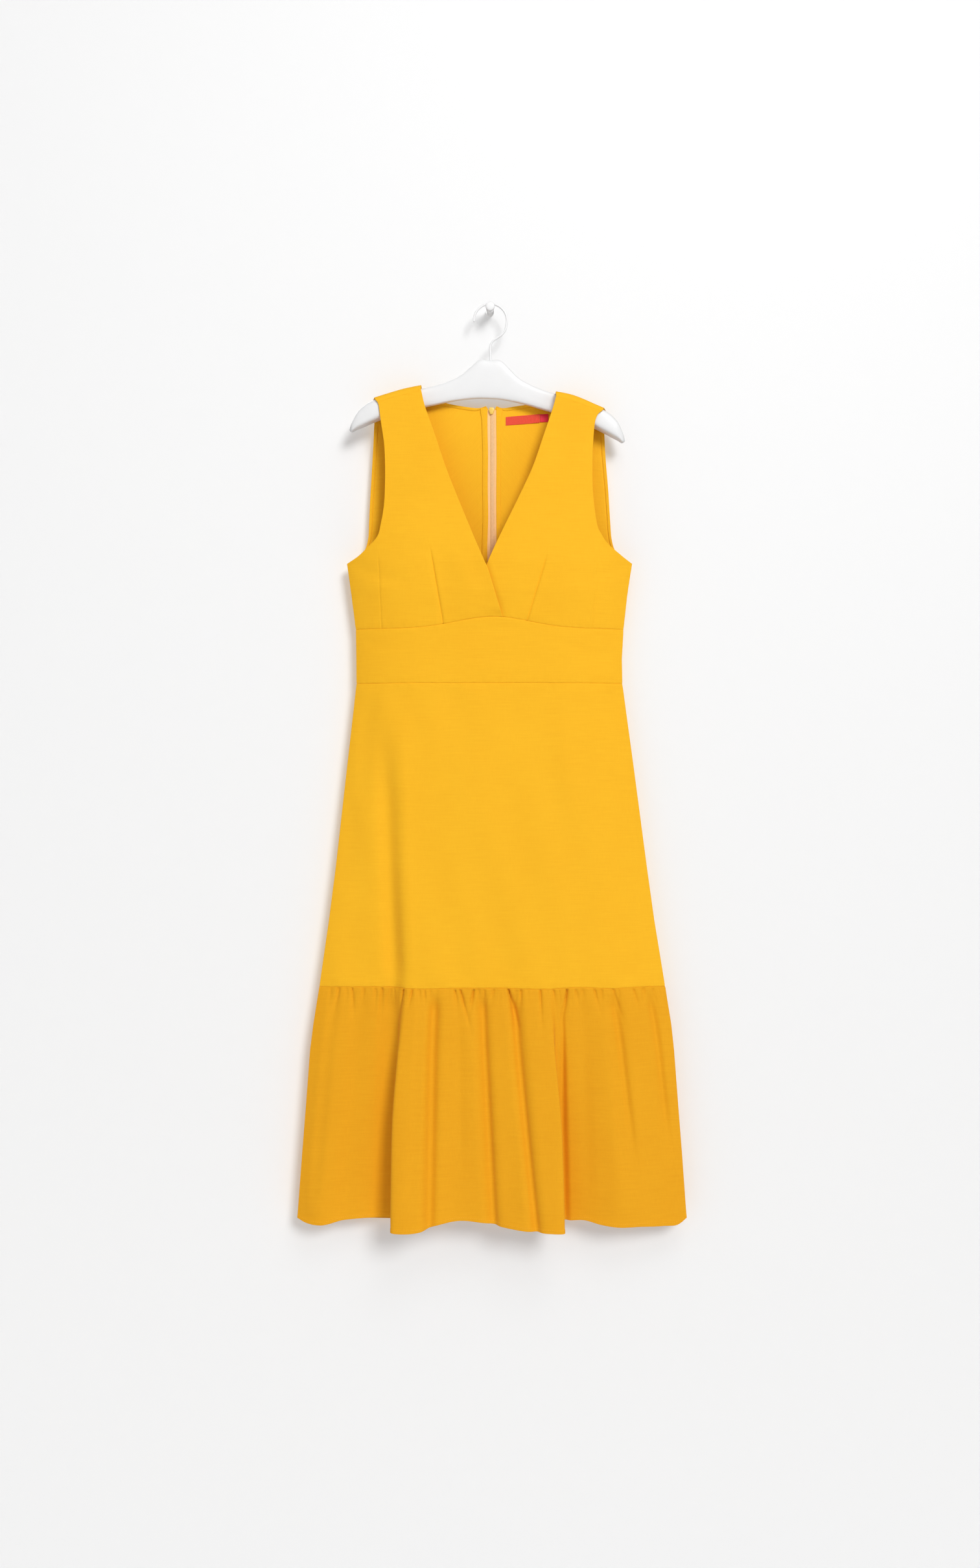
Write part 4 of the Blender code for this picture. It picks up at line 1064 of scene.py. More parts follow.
def add_bodice_backs(linen):
    """The two backs, each cut in one with the strap that wraps over the hanger."""
    made, sewn = [], []
    for name, blocks, front_blocks, side, seed in (
        ("bodice_back_right", BACK_RIGHT, FRONT_RIGHT, 1, 13),
        ("bodice_back_left", BACK_LEFT, FRONT_LEFT, -1, 14),
    ):
        heights = (
            np.linspace(0, 1, 55),
            np.linspace(0, 1, 40),
            graded(BUST_RUN, (0.0, 3.0), ROLL, step=3.0),
        )
        rows = panel_rows(blocks, heights)
        widths = np.hypot(rows[:, 0] - rows[:, 2], rows[:, 1] - rows[:, 3])
        shares = np.stack([back_columns(width) for width in widths])
        x, z = panel_grid(rows, shares, lambda x: MIDRIFF_TOP + 0 * x, len(heights[2]))
        x = x - side * SEAM / 2 * shares**8
        side_x, side_z, neck_x, neck_z = front_blocks[0][0]
        front_x = side_x + (neck_x - side_x) * shares[:1]
        front_z = side_z + (neck_z - side_z) * shares[:1]
        steps = graded(SHOULDER_RUN, ROLL, (0.0, 1.5), step=1.5)[:-1]
        wrap_x, wrap_depth, wrap_z = shoulder_wrap(x[:1], z[:1], front_x, front_z, steps)
        depth = np.concatenate([wrap_depth, back_depth(x, z)])
        x = np.concatenate([wrap_x, x])
        z = np.concatenate([wrap_z, z])
        x, z = strap_flare(x, z)
        base = grid_of(x, depth, z)
        if side < 0:
            base, x, z = base[:, ::-1], x[:, ::-1], z[:, ::-1]
        edges = Edges(base)
        relief = seam_relief(seed, edges.from_foot, x) + seam_relief(seed, edges.from_top, x, 0.1, 0.3)
        relief = relief + crease_relief(BODICE_BACK_CREASES, x, z) * ease(edges.from_top / 80)
        side_edge, neck_edge = edges.from_left, edges.from_right
        if side < 0:
            side_edge, neck_edge = neck_edge, side_edge
        below = ease((edges.from_top - SHOULDER_RUN) / 12) * ease((z - UNDERARM) / 8)
        beside_zip = ease((np.abs(x - BACK_CENTRE) - ALLOWANCE_OUTER) / 5)
        relief = relief + facing_relief(side_edge) * below
        relief = relief + facing_relief(neck_edge) * below * beside_zip
        over = ease((edges.from_top - 60) / 60)
        relief = relief + panel_waves("bodice_back", seed, x, z, edges) * over
        piece, outer, inner, out = add_cloth(
            name + "_cloth", base, relief, False, linen, [name],
            threads=np.stack([base[..., 0], -edges.from_top], axis=-1),
        )
        made.append(piece)
        body = slice(len(steps), -BACK_STITCHES_END)
        for line in (BACK_STITCH_LINE, -1 - BACK_STITCH_LINE):
            sewn.append((inner[body, line], -out[body, line]))
            sewn.append((outer[body, line], out[body, line]))
    return made, sewn


def band(top, foot, height, width, left, right, end_lines=ROLL, step=3.0):
    """A grid of x and z between two heights, from one upright edge to the other."""
    down = graded(height, ROLL, end_lines, step)[:, None]
    across = graded(width, ROLL, ROLL, step)[None, :]
    z = top + (foot - top) * down + 0 * across
    start, end = left(z), right(z)
    return start + (end - start) * across, z, down


def back_middle(side):
    """The upright edge at the back's centre, half a seam to one side of it."""
    return lambda z: BACK_CENTRE + side * SEAM / 2 + 0 * z


def add_midriff(linen):
    """The midriff band: one front between the side seams and two backs."""
    made = []
    for name, front, left, right, width, seed in (
        ("midriff_front", True, left_edge, right_edge, 415.0, 21),
        ("midriff_back_right", False, left_edge, back_middle(-1), 210.0, 22),
        ("midriff_back_left", False, back_middle(1), right_edge, 203.0, 23),
    ):
        top = MIDRIFF_TOP - SEAM / 2
        height = MIDRIFF_TOP - MIDRIFF_FOOT
        x, z, down = band(top, MIDRIFF_FOOT + SEAM / 2, height, width, left, right, step=2.6)
        if front:
            z = z + (midriff_top(x) - MIDRIFF_TOP) * (1 - down)
        depth = front_depth(x, z) if front else back_depth(x, z)
        base = grid_of(x, depth, z)
        edges = Edges(base)
        relief = seam_relief(seed, edges.from_top, x) + seam_relief(seed + 5, edges.from_foot, x)
        relief = relief + crease_relief(MIDRIFF_CREASES, x, z)
        relief = relief + panel_waves("midriff", seed, x, z, edges)
        piece, *_ = add_cloth(name + "_cloth", base, relief, front, linen, [name])
        made.append(piece)
    return made


# Rise and fall of the frill's seam, and the powers by which it fades up the skirt and down the frill
SEAM_WANDER = 0.8
SKIRT_WANDER_FADES = 12
FRILL_WANDER_FADES = 8


def add_skirt(linen):
    """The A-line skirt: one front and two backs, from the midriff to the frill."""
    made = []
    for name, front, left, right, width, table, seed in (
        ("skirt_front", True, left_edge, right_edge, 480.0, SKIRT_FRONT_CREASES, 31),
        ("skirt_back_right", False, left_edge, back_middle(-1), 240.0, SKIRT_BACK_CREASES, 32),
        ("skirt_back_left", False, back_middle(1), right_edge, 240.0, SKIRT_BACK_CREASES, 33),
    ):
        top, foot = MIDRIFF_FOOT - SEAM / 2, FRILL_TOP + SEAM / 2
        x, z, down = band(top, foot, top - foot, width, left, right, step=3.4)
        z = z + seam_wander(x) * down**SKIRT_WANDER_FADES
        depth = front_depth(x, z) if front else back_depth(x, z)
        base = grid_of(x, depth, z)
        edges = Edges(base)
        relief = seam_relief(seed, edges.from_top, x)
        relief = relief + seam_relief(seed + 5, edges.from_foot, x, puckers=0.4)
        relief = relief + crease_relief(table, x, z) + (fold_trough(x, z) if front else 0.0)
        relief = relief + panel_waves("skirt", seed, x, z * 0.6, edges)
        piece, *_ = add_cloth(name + "_cloth", base, relief, front, linen, [name])
        made.append(piece)
    return made


def seam_wander(x):
    """How the frill's seam rises and falls by about a millimetre, as gathers pull it."""
    return SEAM_WANDER * ripple(77, x, (60.0, 210.0), 4)


def spread_gathers(places):
    """Gathers at given shares: their length, boldness and lean vary by the steps of GATHER_STEPS."""
    order = np.arange(len(places))
    long, bold, lean = ((order * step + start) % 1.0 for step, start in GATHER_STEPS)
    length = GATHER_SHORTEST + (GATHER_LONGEST - GATHER_SHORTEST) * long**1.3
    faintest, boldest = GATHER_BOLDNESS
    boldness = faintest + (boldest - faintest) * bold**1.4
    return np.stack([places, length, boldness, GATHER_LEAN * (lean - 0.5)], axis=-1)


def back_gathers():
    """Gathers of the back frill, evenly spread and then nudged by a golden-share offset."""
    order = np.arange(BACK_GATHER_COUNT)
    nudge = (order * GOLDEN_SHARE) % 1.0 - 0.5
    return spread_gathers((order + 0.5 + 0.5 * nudge) / BACK_GATHER_COUNT)


def gather_bells(share, down_mm, gathers, deep, wide, stretch=1.0):
    """Short dips under the seam: narrow bells that open and fade over about their own length."""
    dip = np.zeros(np.broadcast(share, down_mm).shape)
    seam_width = right_edge(FRILL_TOP) - left_edge(FRILL_TOP)
    for place, long, bold, lean in gathers:
        length = stretch * long
        across = (share - place) * seam_width - lean * down_mm
        opening = wide * (GATHER_OPENS["from"] + GATHER_OPENS["by"] * down_mm / length)
        along = ease(down_mm / GATHER_FULL_AT) * np.exp(-((down_mm / length) ** 2))
        dip = dip + deep * bold * bell(across / opening) * along
    return dip


# Shares of the frill's height over which a trough starts, and over which it fades past its reach
TROUGH_STARTS = 0.1
TROUGH_FADES = 0.3


def trough_dips(share, down, troughs, width):
    """Long soft troughs, each drifting in a line from its place at the seam to the hem."""
    dip = np.zeros(np.broadcast(share, down).shape)
    for seam, hem, deep, wide, reach in troughs:
        across = (share - (seam + (hem - seam) * down)) * width / wide
        along = ease(down / TROUGH_STARTS) * (1 - ease((down - reach) / TROUGH_FADES))
        dip = dip + deep * bell(across) * along
    return dip


def hem_line(table, share):
    """Depth and height of the hem at each share of its width."""
    rows = np.array(table)
    depth = smooth_through(rows[:, 0], rows[:, 1], share)
    return depth, smooth_through(rows[:, 0], rows[:, 2], share)


# About how wide the frill is at its seam and how long, for its rows and columns
FRILL_SEAM = 535.0
FRILL_DOWN = 360.0
# The power by which the cloth opens from its seam's depth to its hem's
FRILL_OPENING = 0.8
# Beside a side seam, gathers and troughs fade over this share of the width
SIDE_SEAM_SHARE = 0.03


def frill_point(share, down, front):
    """Point of the frill's inner face: share runs along the seam and down runs to the hem.

    The cloth starts on the skirt's own surface and eases into the hem's line, less its
    gathers and troughs. On the front a middle block stands forward between two edges,
    and the cloth under each edge turns back beneath it. Its edges lean over by a
    normal curve's slope on either side of them.
    """
    if front:
        side_depth, side_foot = hem_line(HEM_SIDES, share)
        block_depth, block_foot = hem_line(HEM_BLOCK, share)
        width = right_edge(FRILL_TOP) - left_edge(FRILL_TOP)
        left_at = BLOCK_LEFT_EDGE[0] + (BLOCK_LEFT_EDGE[1] - BLOCK_LEFT_EDGE[0]) * down
        right_at = BLOCK_RIGHT_EDGE[0] + (BLOCK_RIGHT_EDGE[1] - BLOCK_RIGHT_EDGE[0]) * down
        left_turn = (share - left_at) * width / EDGE_WIDTH
        right_turn = (right_at - share) * width / EDGE_WIDTH
        block = swing(left_turn) * swing(right_turn)
        hem_depth = side_depth + (block_depth - side_depth) * block
        foot = side_foot + (block_foot - side_foot) * block
        right_slope = right_turn * np.exp(0.5 - right_turn**2 / 2)
        left_slope = left_turn * np.exp(0.5 - left_turn**2 / 2)
        shift = EDGE_OVERHANG * ease(down * 1.6) * (right_slope - left_slope)
        gathers, troughs, surface, outwards = FRONT_GATHERS, FRONT_TROUGHS, front_depth, 1
    else:
        hem_depth, foot = hem_line(HEM_BACK, share)
        shift = 0.0
        gathers, troughs, surface, outwards = back_gathers(), BACK_TROUGHS, back_depth, -1
    top = FRILL_TOP - SEAM / 2
    seam_x = left_edge(top) + (right_edge(top) - left_edge(top)) * share
    z = top + (foot - top) * down + seam_wander(seam_x) * (1 - down) ** FRILL_WANDER_FADES
    x = left_edge(z) + (right_edge(z) - left_edge(z)) * share + shift
    opened = down**FRILL_OPENING
    depth = surface(seam_x, top) * (1 - opened) + hem_depth * opened
    edge_fade = ease(np.minimum(share, 1 - share) / SIDE_SEAM_SHARE)
    dips = gather_bells(share, top - z, gathers, GATHER_DEPTH, GATHER_WIDTH)
    dips = dips + trough_dips(share, down, troughs, right_edge(z) - left_edge(z))
    return x, depth - outwards * dips * edge_fade, z


# Columns of the frill's front, and how much closer they are, within a share of the block's edges
FRILL_COLUMNS = 350
FRILL_CROWDED = {"by": 1.6, "within": 0.03}


def frill_shares(front):
    """Column shares of the frill, crowded at its rims and round the block's two edges."""
    if not front:
        return graded(FRILL_SEAM, ROLL, ROLL, step=1.7)
    plain = np.linspace(0, 1, 4001)
    dense = 0.0
    for edge in (BLOCK_LEFT_EDGE, BLOCK_RIGHT_EDGE):
        near = (plain - np.mean(edge)) / FRILL_CROWDED["within"]
        dense = dense + FRILL_CROWDED["by"] * bell(near)
    weight = np.concatenate([[0], np.cumsum(1 + dense)[:-1]])
    even = np.interp(np.linspace(0, weight[-1], FRILL_COLUMNS), weight, plain)
    rim = np.array(ROLL) / FRILL_SEAM
    return np.sort(np.concatenate([rim[:-1], even[1:-1], 1 - rim[:-1]]))


# Distances below the seam of the frill's rows: close down to the first number, wider below it
FRILL_CLOSE_ROWS = {"to": 62.0, "count": 30}
FRILL_WIDE_ROWS = 62

# The dark crease beyond the block's right edge
CREVICE_BEYOND = 14.8
CREVICE_DEPTH = 7.0
CREVICE_WIDTH = 2.8

# Softer troughs that only the cloth's own relief has
#    seam   hem    deep  wide  reach
FRILL_SWAGS = (
    (0.055, 0.040, 1.8, 8.0, 0.7),
    (0.128, 0.120, 1.6, 11.0, 0.9),
    (0.205, 0.224, 5.0, 14.0, 1.0),
    (0.300, 0.296, 1.0, 6.0, 0.7),
    (0.335, 0.341, 2.0, 6.5, 0.9),
    (0.472, 0.507, 2.6, 4.8, 1.0),
    (0.557, 0.613, 2.7, 4.6, 1.0),
    (0.405, 0.425, 1.3, 7.0, 0.6),
    (0.750, 0.752, 1.4, 10.0, 0.8),
    (0.843, 0.885, 3.4, 5.0, 0.5),
    (0.950, 0.978, 3.0, 4.5, 0.45),
)


def add_frill(linen):
    """The gathered frill: a front and a back between the side seams."""
    made, sewn = [], []
    close = FRILL_CLOSE_ROWS["to"]
    rows = np.concatenate([
        np.array(ROLL)[:-1],
        np.linspace(ROLL[-1], close, FRILL_CLOSE_ROWS["count"])[:-1],
        np.linspace(close, FRILL_DOWN - HEM_ROLL[-1], FRILL_WIDE_ROWS),
        FRILL_DOWN - np.array(HEM_ROLL)[-2::-1],
    ]) / FRILL_DOWN
    for name, front, seed in (("frill_front", True, 41), ("frill_back", False, 42)):
        share = frill_shares(front)[None, :]
        down = rows[:, None]
        x, depth, z = frill_point(share, down, front)
        base = grid_of(x, depth, z)
        edges = Edges(base)
        gathers = FRONT_GATHERS if front else back_gathers()
        down_mm = edges.from_top
        relief = -gather_bells(share, down_mm, gathers, *GATHER_CORE, stretch=0.8)
        relief = relief + seam_relief(seed, edges.from_top, x, puckers=0.7)
        if front:
            relief = relief - trough_dips(share, down, FRILL_SWAGS, FRILL_SEAM)
            beyond = (share - BLOCK_RIGHT_EDGE[0]) * FRILL_SEAM - CREVICE_BEYOND
            relief = relief - CREVICE_DEPTH * bell(beyond / CREVICE_WIDTH) * ease(2.5 * down)
        places = (np.arange(FINE_GATHER_COUNT) * GOLDEN_SHARE + 0.17 * seed) % 1.0
        fine = spread_gathers(np.sort(places))
        relief = relief - gather_bells(share, down_mm, fine, *FINE_GATHER, stretch=0.5)
        calm = ease(edges.from_foot / 30) * ease(np.minimum(edges.from_left, edges.from_right) / 20)
        waves = billows(seed, x, z * 0.2, lengths=(34.0, 120.0))
        relief = relief + 0.7 * waves * calm * ease(down_mm / 60)
        relief = relief + HEM_STEP["high"] * swing((HEM_STEP["at"] - edges.from_foot) / HEM_STEP["wide"])
        relief = relief + waver(seed + 3, x, edges.from_foot, high=0.12, lengths=(8.0, 30.0), reach=6.0)
        flat = edges.from_left[len(rows) // 2]
        threads = np.stack(np.broadcast_arrays(flat[None, :], -down_mm), axis=-1)
        piece, outer, inner, out = add_cloth(
            name + "_cloth", base, relief, front, linen, [name], threads=threads
        )
        made.append(piece)
        line = -1 - HEM_STITCH_ROW
        sewn.append((outer[line], out[line]))
        sewn.append((inner[line], -out[line]))
    return made, sewn


def inside_back(x, z, lift):
    """Points that lie on the inside of the back, moved out towards the viewer."""
    return grid_of(x, back_depth(x, z) + GAP + lift, z)


TAPE_MEET = 0.2
TAPE_FACE = 0.35
TAPE_DROP = 4.0
TAPE_RIB = {"high": 0.07, "pitch": 1.8}


def add_zip_tapes(tape):
    """Two woven tapes that meet under the coil, ribbed along their length."""
    made = []
    top = ZIP_TOP - TAPE_DROP
    heights = top + (ZIP_FOOT - top) * graded(ZIP_TOP - ZIP_FOOT, ROLL, ROLL, step=5.0)[:, None]
    for name, near, far in (
        ("zip_tape_right", -TAPE_OUTER, -TAPE_MEET),
        ("zip_tape_left", TAPE_MEET, TAPE_OUTER),
    ):
        across = graded(far - near, ROLL[:4], ROLL[:4], step=0.45)[None, :]
        x = BACK_CENTRE + near + (far - near) * across + 0 * heights
        base = inside_back(x, heights + 0 * x, 0.0)
        relief = TAPE_RIB["high"] * np.cos(2 * math.pi * (x - BACK_CENTRE) / TAPE_RIB["pitch"])
        piece, *_ = add_cloth(
            name + "_woven", base, relief, True, tape, [name], TAPE_FACE
        )
        made.append(piece)
    return made


# Teeth of the coil: how far apart, how far each reaches out and past the middle, and how it arches
COIL_PITCH = 1.25
COIL_HALF = 2.8
COIL_OVERLAP = 0.1
COIL_SHIFT = 1.6
COIL_LIFT = 0.2
COIL_RISE = 0.4
COIL_ARCH = {"from": 0.15, "by": 0.6}
TOOTH_RADIUS = 0.7
TOOTH_SIDES = 5
TOOTH_RINGS = 5


def add_coil(nylon):
    """The zip's coil: two rows of crosswise teeth that meet in the middle.

    Each tooth is a short arch across the zip, low at its tape and raised at the middle,
    five-sided in section. The rows are half a pitch apart.
    """
    count = int((SLIDER_HEIGHT_AT - SLIDER_HEIGHT / 2 - ZIP_FOOT) / COIL_PITCH)
    along = np.linspace(0, 1, TOOTH_RINGS)[:, None]
    turn = np.linspace(0, 2 * math.pi, TOOTH_SIDES, endpoint=False)[None, :]
    ring = np.stack(np.broadcast_arrays(0 * turn, np.cos(turn), np.sin(turn)), axis=-1)
    size = TOOTH_RINGS * TOOTH_SIDES
    tooth_faces = tube_faces(TOOTH_RINGS, TOOTH_SIDES)
    points, faces = [], []
    for row, side in enumerate((-1, 1)):
        order = np.arange(count)[:, None, None] + 0.5 * row
        z = SLIDER_HEIGHT_AT - SLIDER_HEIGHT / 2 - COIL_PITCH * order
        x = BACK_CENTRE + COIL_SHIFT + side * (COIL_HALF * (1 - along) - COIL_OVERLAP * along)
        arch = np.sin(math.pi * (COIL_ARCH["from"] + COIL_ARCH["by"] * along))
        lift = TAPE_FACE + COIL_LIFT + COIL_RISE * arch
        middle = inside_back(x + 0 * z, z + 0 * x, lift)
        tooth = middle.reshape(count, TOOTH_RINGS, 1, 3) + TOOTH_RADIUS * ring[None]
        points.append(tooth.reshape(-1, 3))
        found = tooth_faces[None] + (np.arange(count) * size + row * count * size)[:, None, None]
        faces.append((found if side > 0 else found[..., ::-1]).reshape(-1, 4))
    return new_piece("zip_coil", np.concatenate(points), np.concatenate(faces), nylon)


def lofted_between(low, high, outline, squareness, name, finish, body, nodes):
    """A solid with a shaped outline that fills a box: rounded rings stacked up the box.

    outline is rows of (share of the height, share of the half width, share of the half
    depth). Each ring is a rounded square, and the rings follow straight runs between rows.
    """
    table = np.array(outline)
    low, high = np.array(low), np.array(high)
    centre, half = (low + high) / 2, (high - low) / 2
    up = np.linspace(0, 1, 40)
    width = np.interp(up, table[:, 0], table[:, 1])[:, None]
    depth = np.interp(up, table[:, 0], table[:, 2])[:, None]
    angle = np.linspace(0, 2 * math.pi, 36, endpoint=False)[None, :]
    across = rounded_square(np.cos(angle), squareness)
    ahead = rounded_square(np.sin(angle), squareness)
    z = low[2] + (high[2] - low[2]) * up[:, None] + 0 * angle
    points = np.stack(
        [centre[0] + half[0] * width * across, centre[1] + half[1] * depth * ahead, z], axis=-1
    )
    return lofted(name, points, finish, nodes, body)


# Outlines as shares: up the box, of its half width and of its half depth
#    up    wide  deep
SLIDER_OUTLINE = (
    (0.00, 0.34, 0.50),
    (0.03, 0.46, 0.72),
    (0.10, 0.56, 0.88),
    (0.30, 0.72, 1.00),
    (0.52, 0.97, 1.00),
    (0.66, 1.00, 1.00),
    (0.80, 0.92, 0.97),
    (0.93, 0.80, 0.86),
    (0.98, 0.72, 0.72),
    (1.00, 0.62, 0.50),
)
PULL_OUTLINE = (
    (0.00, 0.40, 0.40),
    (0.03, 0.70, 0.80),
    (0.08, 0.92, 1.00),
    (0.16, 1.00, 1.00),
    (0.45, 0.94, 0.85),
    (0.72, 0.74, 0.95),
    (0.90, 0.66, 1.00),
    (0.97, 0.58, 0.85),
    (1.00, 0.42, 0.45),
)
POST_OUTLINE = (
    (0.00, 0.50, 0.90),
    (0.10, 0.90, 0.98),
    (0.50, 1.00, 1.00),
    (0.90, 0.90, 0.98),
    (1.00, 0.50, 0.90),
)


def in_millimetres(node):
    """A node's lowest and highest corners."""
    low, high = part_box(node)
    return np.array(low) / MM, np.array(high) / MM


# Half the width and half the height of the post that joins the slider to its pin
POST_HALF = (0.9, 2.5)
POST_SUNK = 1.0


def add_slider_and_pull(metal):
    """The painted slider inside, and the tab that hangs outside.

    The slider's body keeps the front part of its box; a thin post joins it to the pin.
    """
    low, high = in_millimetres("zip_slider")
    face = high.copy()
    face[1] = low[1] + SLIDER_THICK
    lofted_between(
        low, face, SLIDER_OUTLINE, squareness=3.2, name="zip_slider_shaped", finish=metal,
        body=BODY_OF_CLOTH, nodes=["zip_slider"],
    )
    wide, tall = POST_HALF
    post_low = (BACK_CENTRE - wide, face[1] - POST_SUNK, SLIDER_HEIGHT_AT - tall)
    post_high = (BACK_CENTRE + wide, high[1], SLIDER_HEIGHT_AT + tall)
    lofted_between(
        post_low, post_high, POST_OUTLINE, squareness=4.0, name="zip_slider_post", finish=metal,
        body=BODY_OF_CLOTH, nodes=["zip_slider"],
    )
    low, high = in_millimetres("zip_pull")
    lofted_between(
        low, high, PULL_OUTLINE, squareness=3.0, name="zip_pull_shaped", finish=metal,
        body=BODY_OF_PULL, nodes=["zip_pull"],
    )


ALLOWANCE_OUTER = 14.0
ALLOWANCE_INNER_RIGHT = 5.8
ALLOWANCE_INNER_LEFT = 7.5
ALLOWANCE_FLARE = {"wide": 3.2, "reach": 16.0}
ALLOWANCE_BELOW_TOP = 1.0
ALLOWANCE_AHEAD = 0.5
ALLOWANCE_THICK = 0.6
# The column that the stitches follow, counted from the strip's outer edge
ALLOWANCE_STITCHED = 5


def add_zip_allowances(linen):
    """The back's turned-in seam allowances: a folded strip of linen on each side of the zip."""
    made, sewn = [], []
    down = graded(ZIP_TOP - ZIP_FOOT, ROLL, ROLL, step=3.0)[:, None]
    heights = ZIP_TOP - ALLOWANCE_BELOW_TOP + (ZIP_FOOT - ZIP_TOP) * down
    for name, side, inner_edge, seed in (
        ("zip_allowance_right", -1, ALLOWANCE_INNER_RIGHT, 51),
        ("zip_allowance_left", 1, ALLOWANCE_INNER_LEFT, 52),
    ):
        flare = ALLOWANCE_FLARE["wide"] * np.exp(-((heights - ZIP_TOP) / ALLOWANCE_FLARE["reach"]) ** 2)
        wander = 0.5 * ripple(seed, heights, (60.0, 200.0), 3)
        width = ALLOWANCE_OUTER - inner_edge
        across = graded(width, ROLL, ROLL, step=0.9)[None, :]
        if side < 0:
            across = across[:, ::-1]
        x = BACK_CENTRE + side * (inner_edge + (width + flare) * across + wander)
        base = inside_back(x, heights + 0 * x, ALLOWANCE_AHEAD)
        edges = Edges(base)
        outside = edges.from_left if side < 0 else edges.from_right
        relief = -0.4 * bell(outside / 2.2) + 0.1 * ripple(seed + 2, heights, (9.0, 34.0))
        piece, outer, _, out = add_cloth(
            name, base, relief, True, linen, [], ALLOWANCE_THICK
        )
        made.append(piece)
        line = ALLOWANCE_STITCHED if side < 0 else -1 - ALLOWANCE_STITCHED
        sewn.append((outer[:, line], out[:, line]))
    return made, sewn


def add_tab(name, place, finish, node, pitch, high):
    """A bare woven tab sewn flat to the inside of the back, ribbed from end to end."""
    width, height = place["right"] - place["left"], place["top"] - place["foot"]
    share = graded(width, ROLL[:4], ROLL[:4], step=0.25)[None, :]
    down = graded(height, ROLL[:4], ROLL[:4], step=0.9)[:, None]
    x = place["left"] + width * share + 0 * down
    z = place["top"] - height * down + place["rise"] * share
    base = inside_back(x, z, 0.0)
    ribs = high * np.cos(2 * math.pi * (x - place["left"]) / pitch)
    relief = ribs + 0.25 * ripple(5, x, (14.0, 40.0), 3)
    piece, *_ = add_cloth(name, base, relief, True, finish, [node], TAPE_THICK - 0.3)
    return piece


def lofted(name, points, finish, nodes, body=BODY_OF_CLOTH):
    """A closed tube through rings of points, with a flat face closing each end."""
    rings, around = points.shape[:2]
    first, last = np.arange(around), np.arange(around) + (rings - 1) * around
    sides = np.roll(tube_faces(rings, around)[:, ::-1], 1, axis=1)
    mesh = bpy.data.meshes.new(name)
    faces = [*sides.tolist(), first[::-1].tolist(), last.tolist()]
    mesh.from_pydata((points.reshape(-1, 3) * MM).tolist(), [], faces)
    return dressed(mesh, finish, body, nodes)


# The bar's rings stand evenly to the first reach and close up from there to its end
HANGER_EVEN_TO = 200.0
HANGER_REACH = 213.5
# Where the rounding of the ends starts, how far it goes, its radius and its least share
HANGER_TIP = {"from": 209.5, "run": 4.0, "radius": 4.1, "least": 0.02}


def add_hanger(finish):
    """The contoured bar: rounded-square rings on smooth curves through the hanger's stations."""
    half = np.array(HANGER)
    closing = HANGER_REACH - HANGER_EVEN_TO
    reach_half = np.concatenate([
        np.linspace(0, HANGER_EVEN_TO, 60),
        HANGER_REACH - closing * (1 - np.linspace(0, 1, 16)[1:]) ** 2,
    ])
    shape_half = np.stack(
        [reach_half] + [smooth_through(half[:, 0], half[:, k], reach_half) for k in (1, 2, 3)], axis=1
    )
    stations = np.concatenate([shape_half[:0:-1] * (-1, 1, 1, 1), shape_half])
    reach, top, foot, thick = stations[:, :, None].transpose(1, 0, 2)
    angle = np.linspace(0, 2 * math.pi, 40, endpoint=False)[None, :]
    across = rounded_square(np.cos(angle), HANGER_SQUARENESS)
    up = rounded_square(np.sin(angle), HANGER_SQUARENESS)
    bow = HANGER_BOW * ease((np.abs(reach) - HANGER_BOW_FROM) / (HANGER_BOW_TO - HANGER_BOW_FROM))
    past = np.clip(np.abs(reach) - HANGER_TIP["from"], 0, HANGER_TIP["run"])
    tip = np.sqrt(np.clip(1 - (past / HANGER_TIP["radius"]) ** 2, HANGER_TIP["least"], 1))
    x = reach + 0 * across
    z = (top + foot) / 2 + (top - foot) / 2 * up * tip
    turned_x = x * math.cos(HANGER_TILT) + z * math.sin(HANGER_TILT)
    turned_z = -x * math.sin(HANGER_TILT) + z * math.cos(HANGER_TILT) + HANGER_PIVOT
    y = -(HANGER_DEPTH + bow + thick / 2 * across * tip)
    points = np.stack([turned_x, y, turned_z], axis=-1)
    return lofted("hanger_shaped", points, finish, ["hanger_body"])


def add_hook(finish):
    """The wire: a round section carried up out of the hanger, out and round over the peg."""
    turn = np.radians(np.linspace(HOOK_ARC_FROM, HOOK_ARC_TO, 18))
    arc = np.stack(
        [HOOK_CENTRE[0] + HOOK_RADIUS * np.cos(turn), HOOK_CENTRE[1] + HOOK_RADIUS * np.sin(turn)],
        axis=1,
    )
    path = np.concatenate([np.array(HOOK_STEM), arc])
    along = np.concatenate([[0], np.cumsum(np.hypot(*np.diff(path, axis=0).T))])
    tip = WIRE_RADIUS * (1 - np.cos(np.linspace(0, math.pi / 2, 8)))[::-1]
    even = np.concatenate([np.linspace(0, along[-1] - WIRE_RADIUS, 130), along[-1] - tip[1:]])
    x = smooth_through(along, path[:, 0], even)
    z = smooth_through(along, path[:, 1], even)
    ahead = np.stack([np.gradient(x), np.gradient(z)], axis=1)
    ahead = ahead / np.linalg.norm(ahead, axis=1, keepdims=True)
    past = np.clip(even - along[-1] + WIRE_RADIUS, 0, None)
    thick = WIRE_RADIUS * np.sqrt(np.clip(1 - (past / WIRE_RADIUS) ** 2, 0.0025, 1))[:, None]
    angle = np.linspace(0, 2 * math.pi, 24, endpoint=False)[None, :]
    points = np.stack(
        [
            x[:, None] - ahead[:, 1:] * thick * np.cos(angle),
            -HANGER_DEPTH - thick * np.sin(angle),
            z[:, None] + ahead[:, :1] * thick * np.cos(angle),
        ],
        axis=-1,
    )
    return lofted("hook_wire", points, finish, ["hanger_hook"])


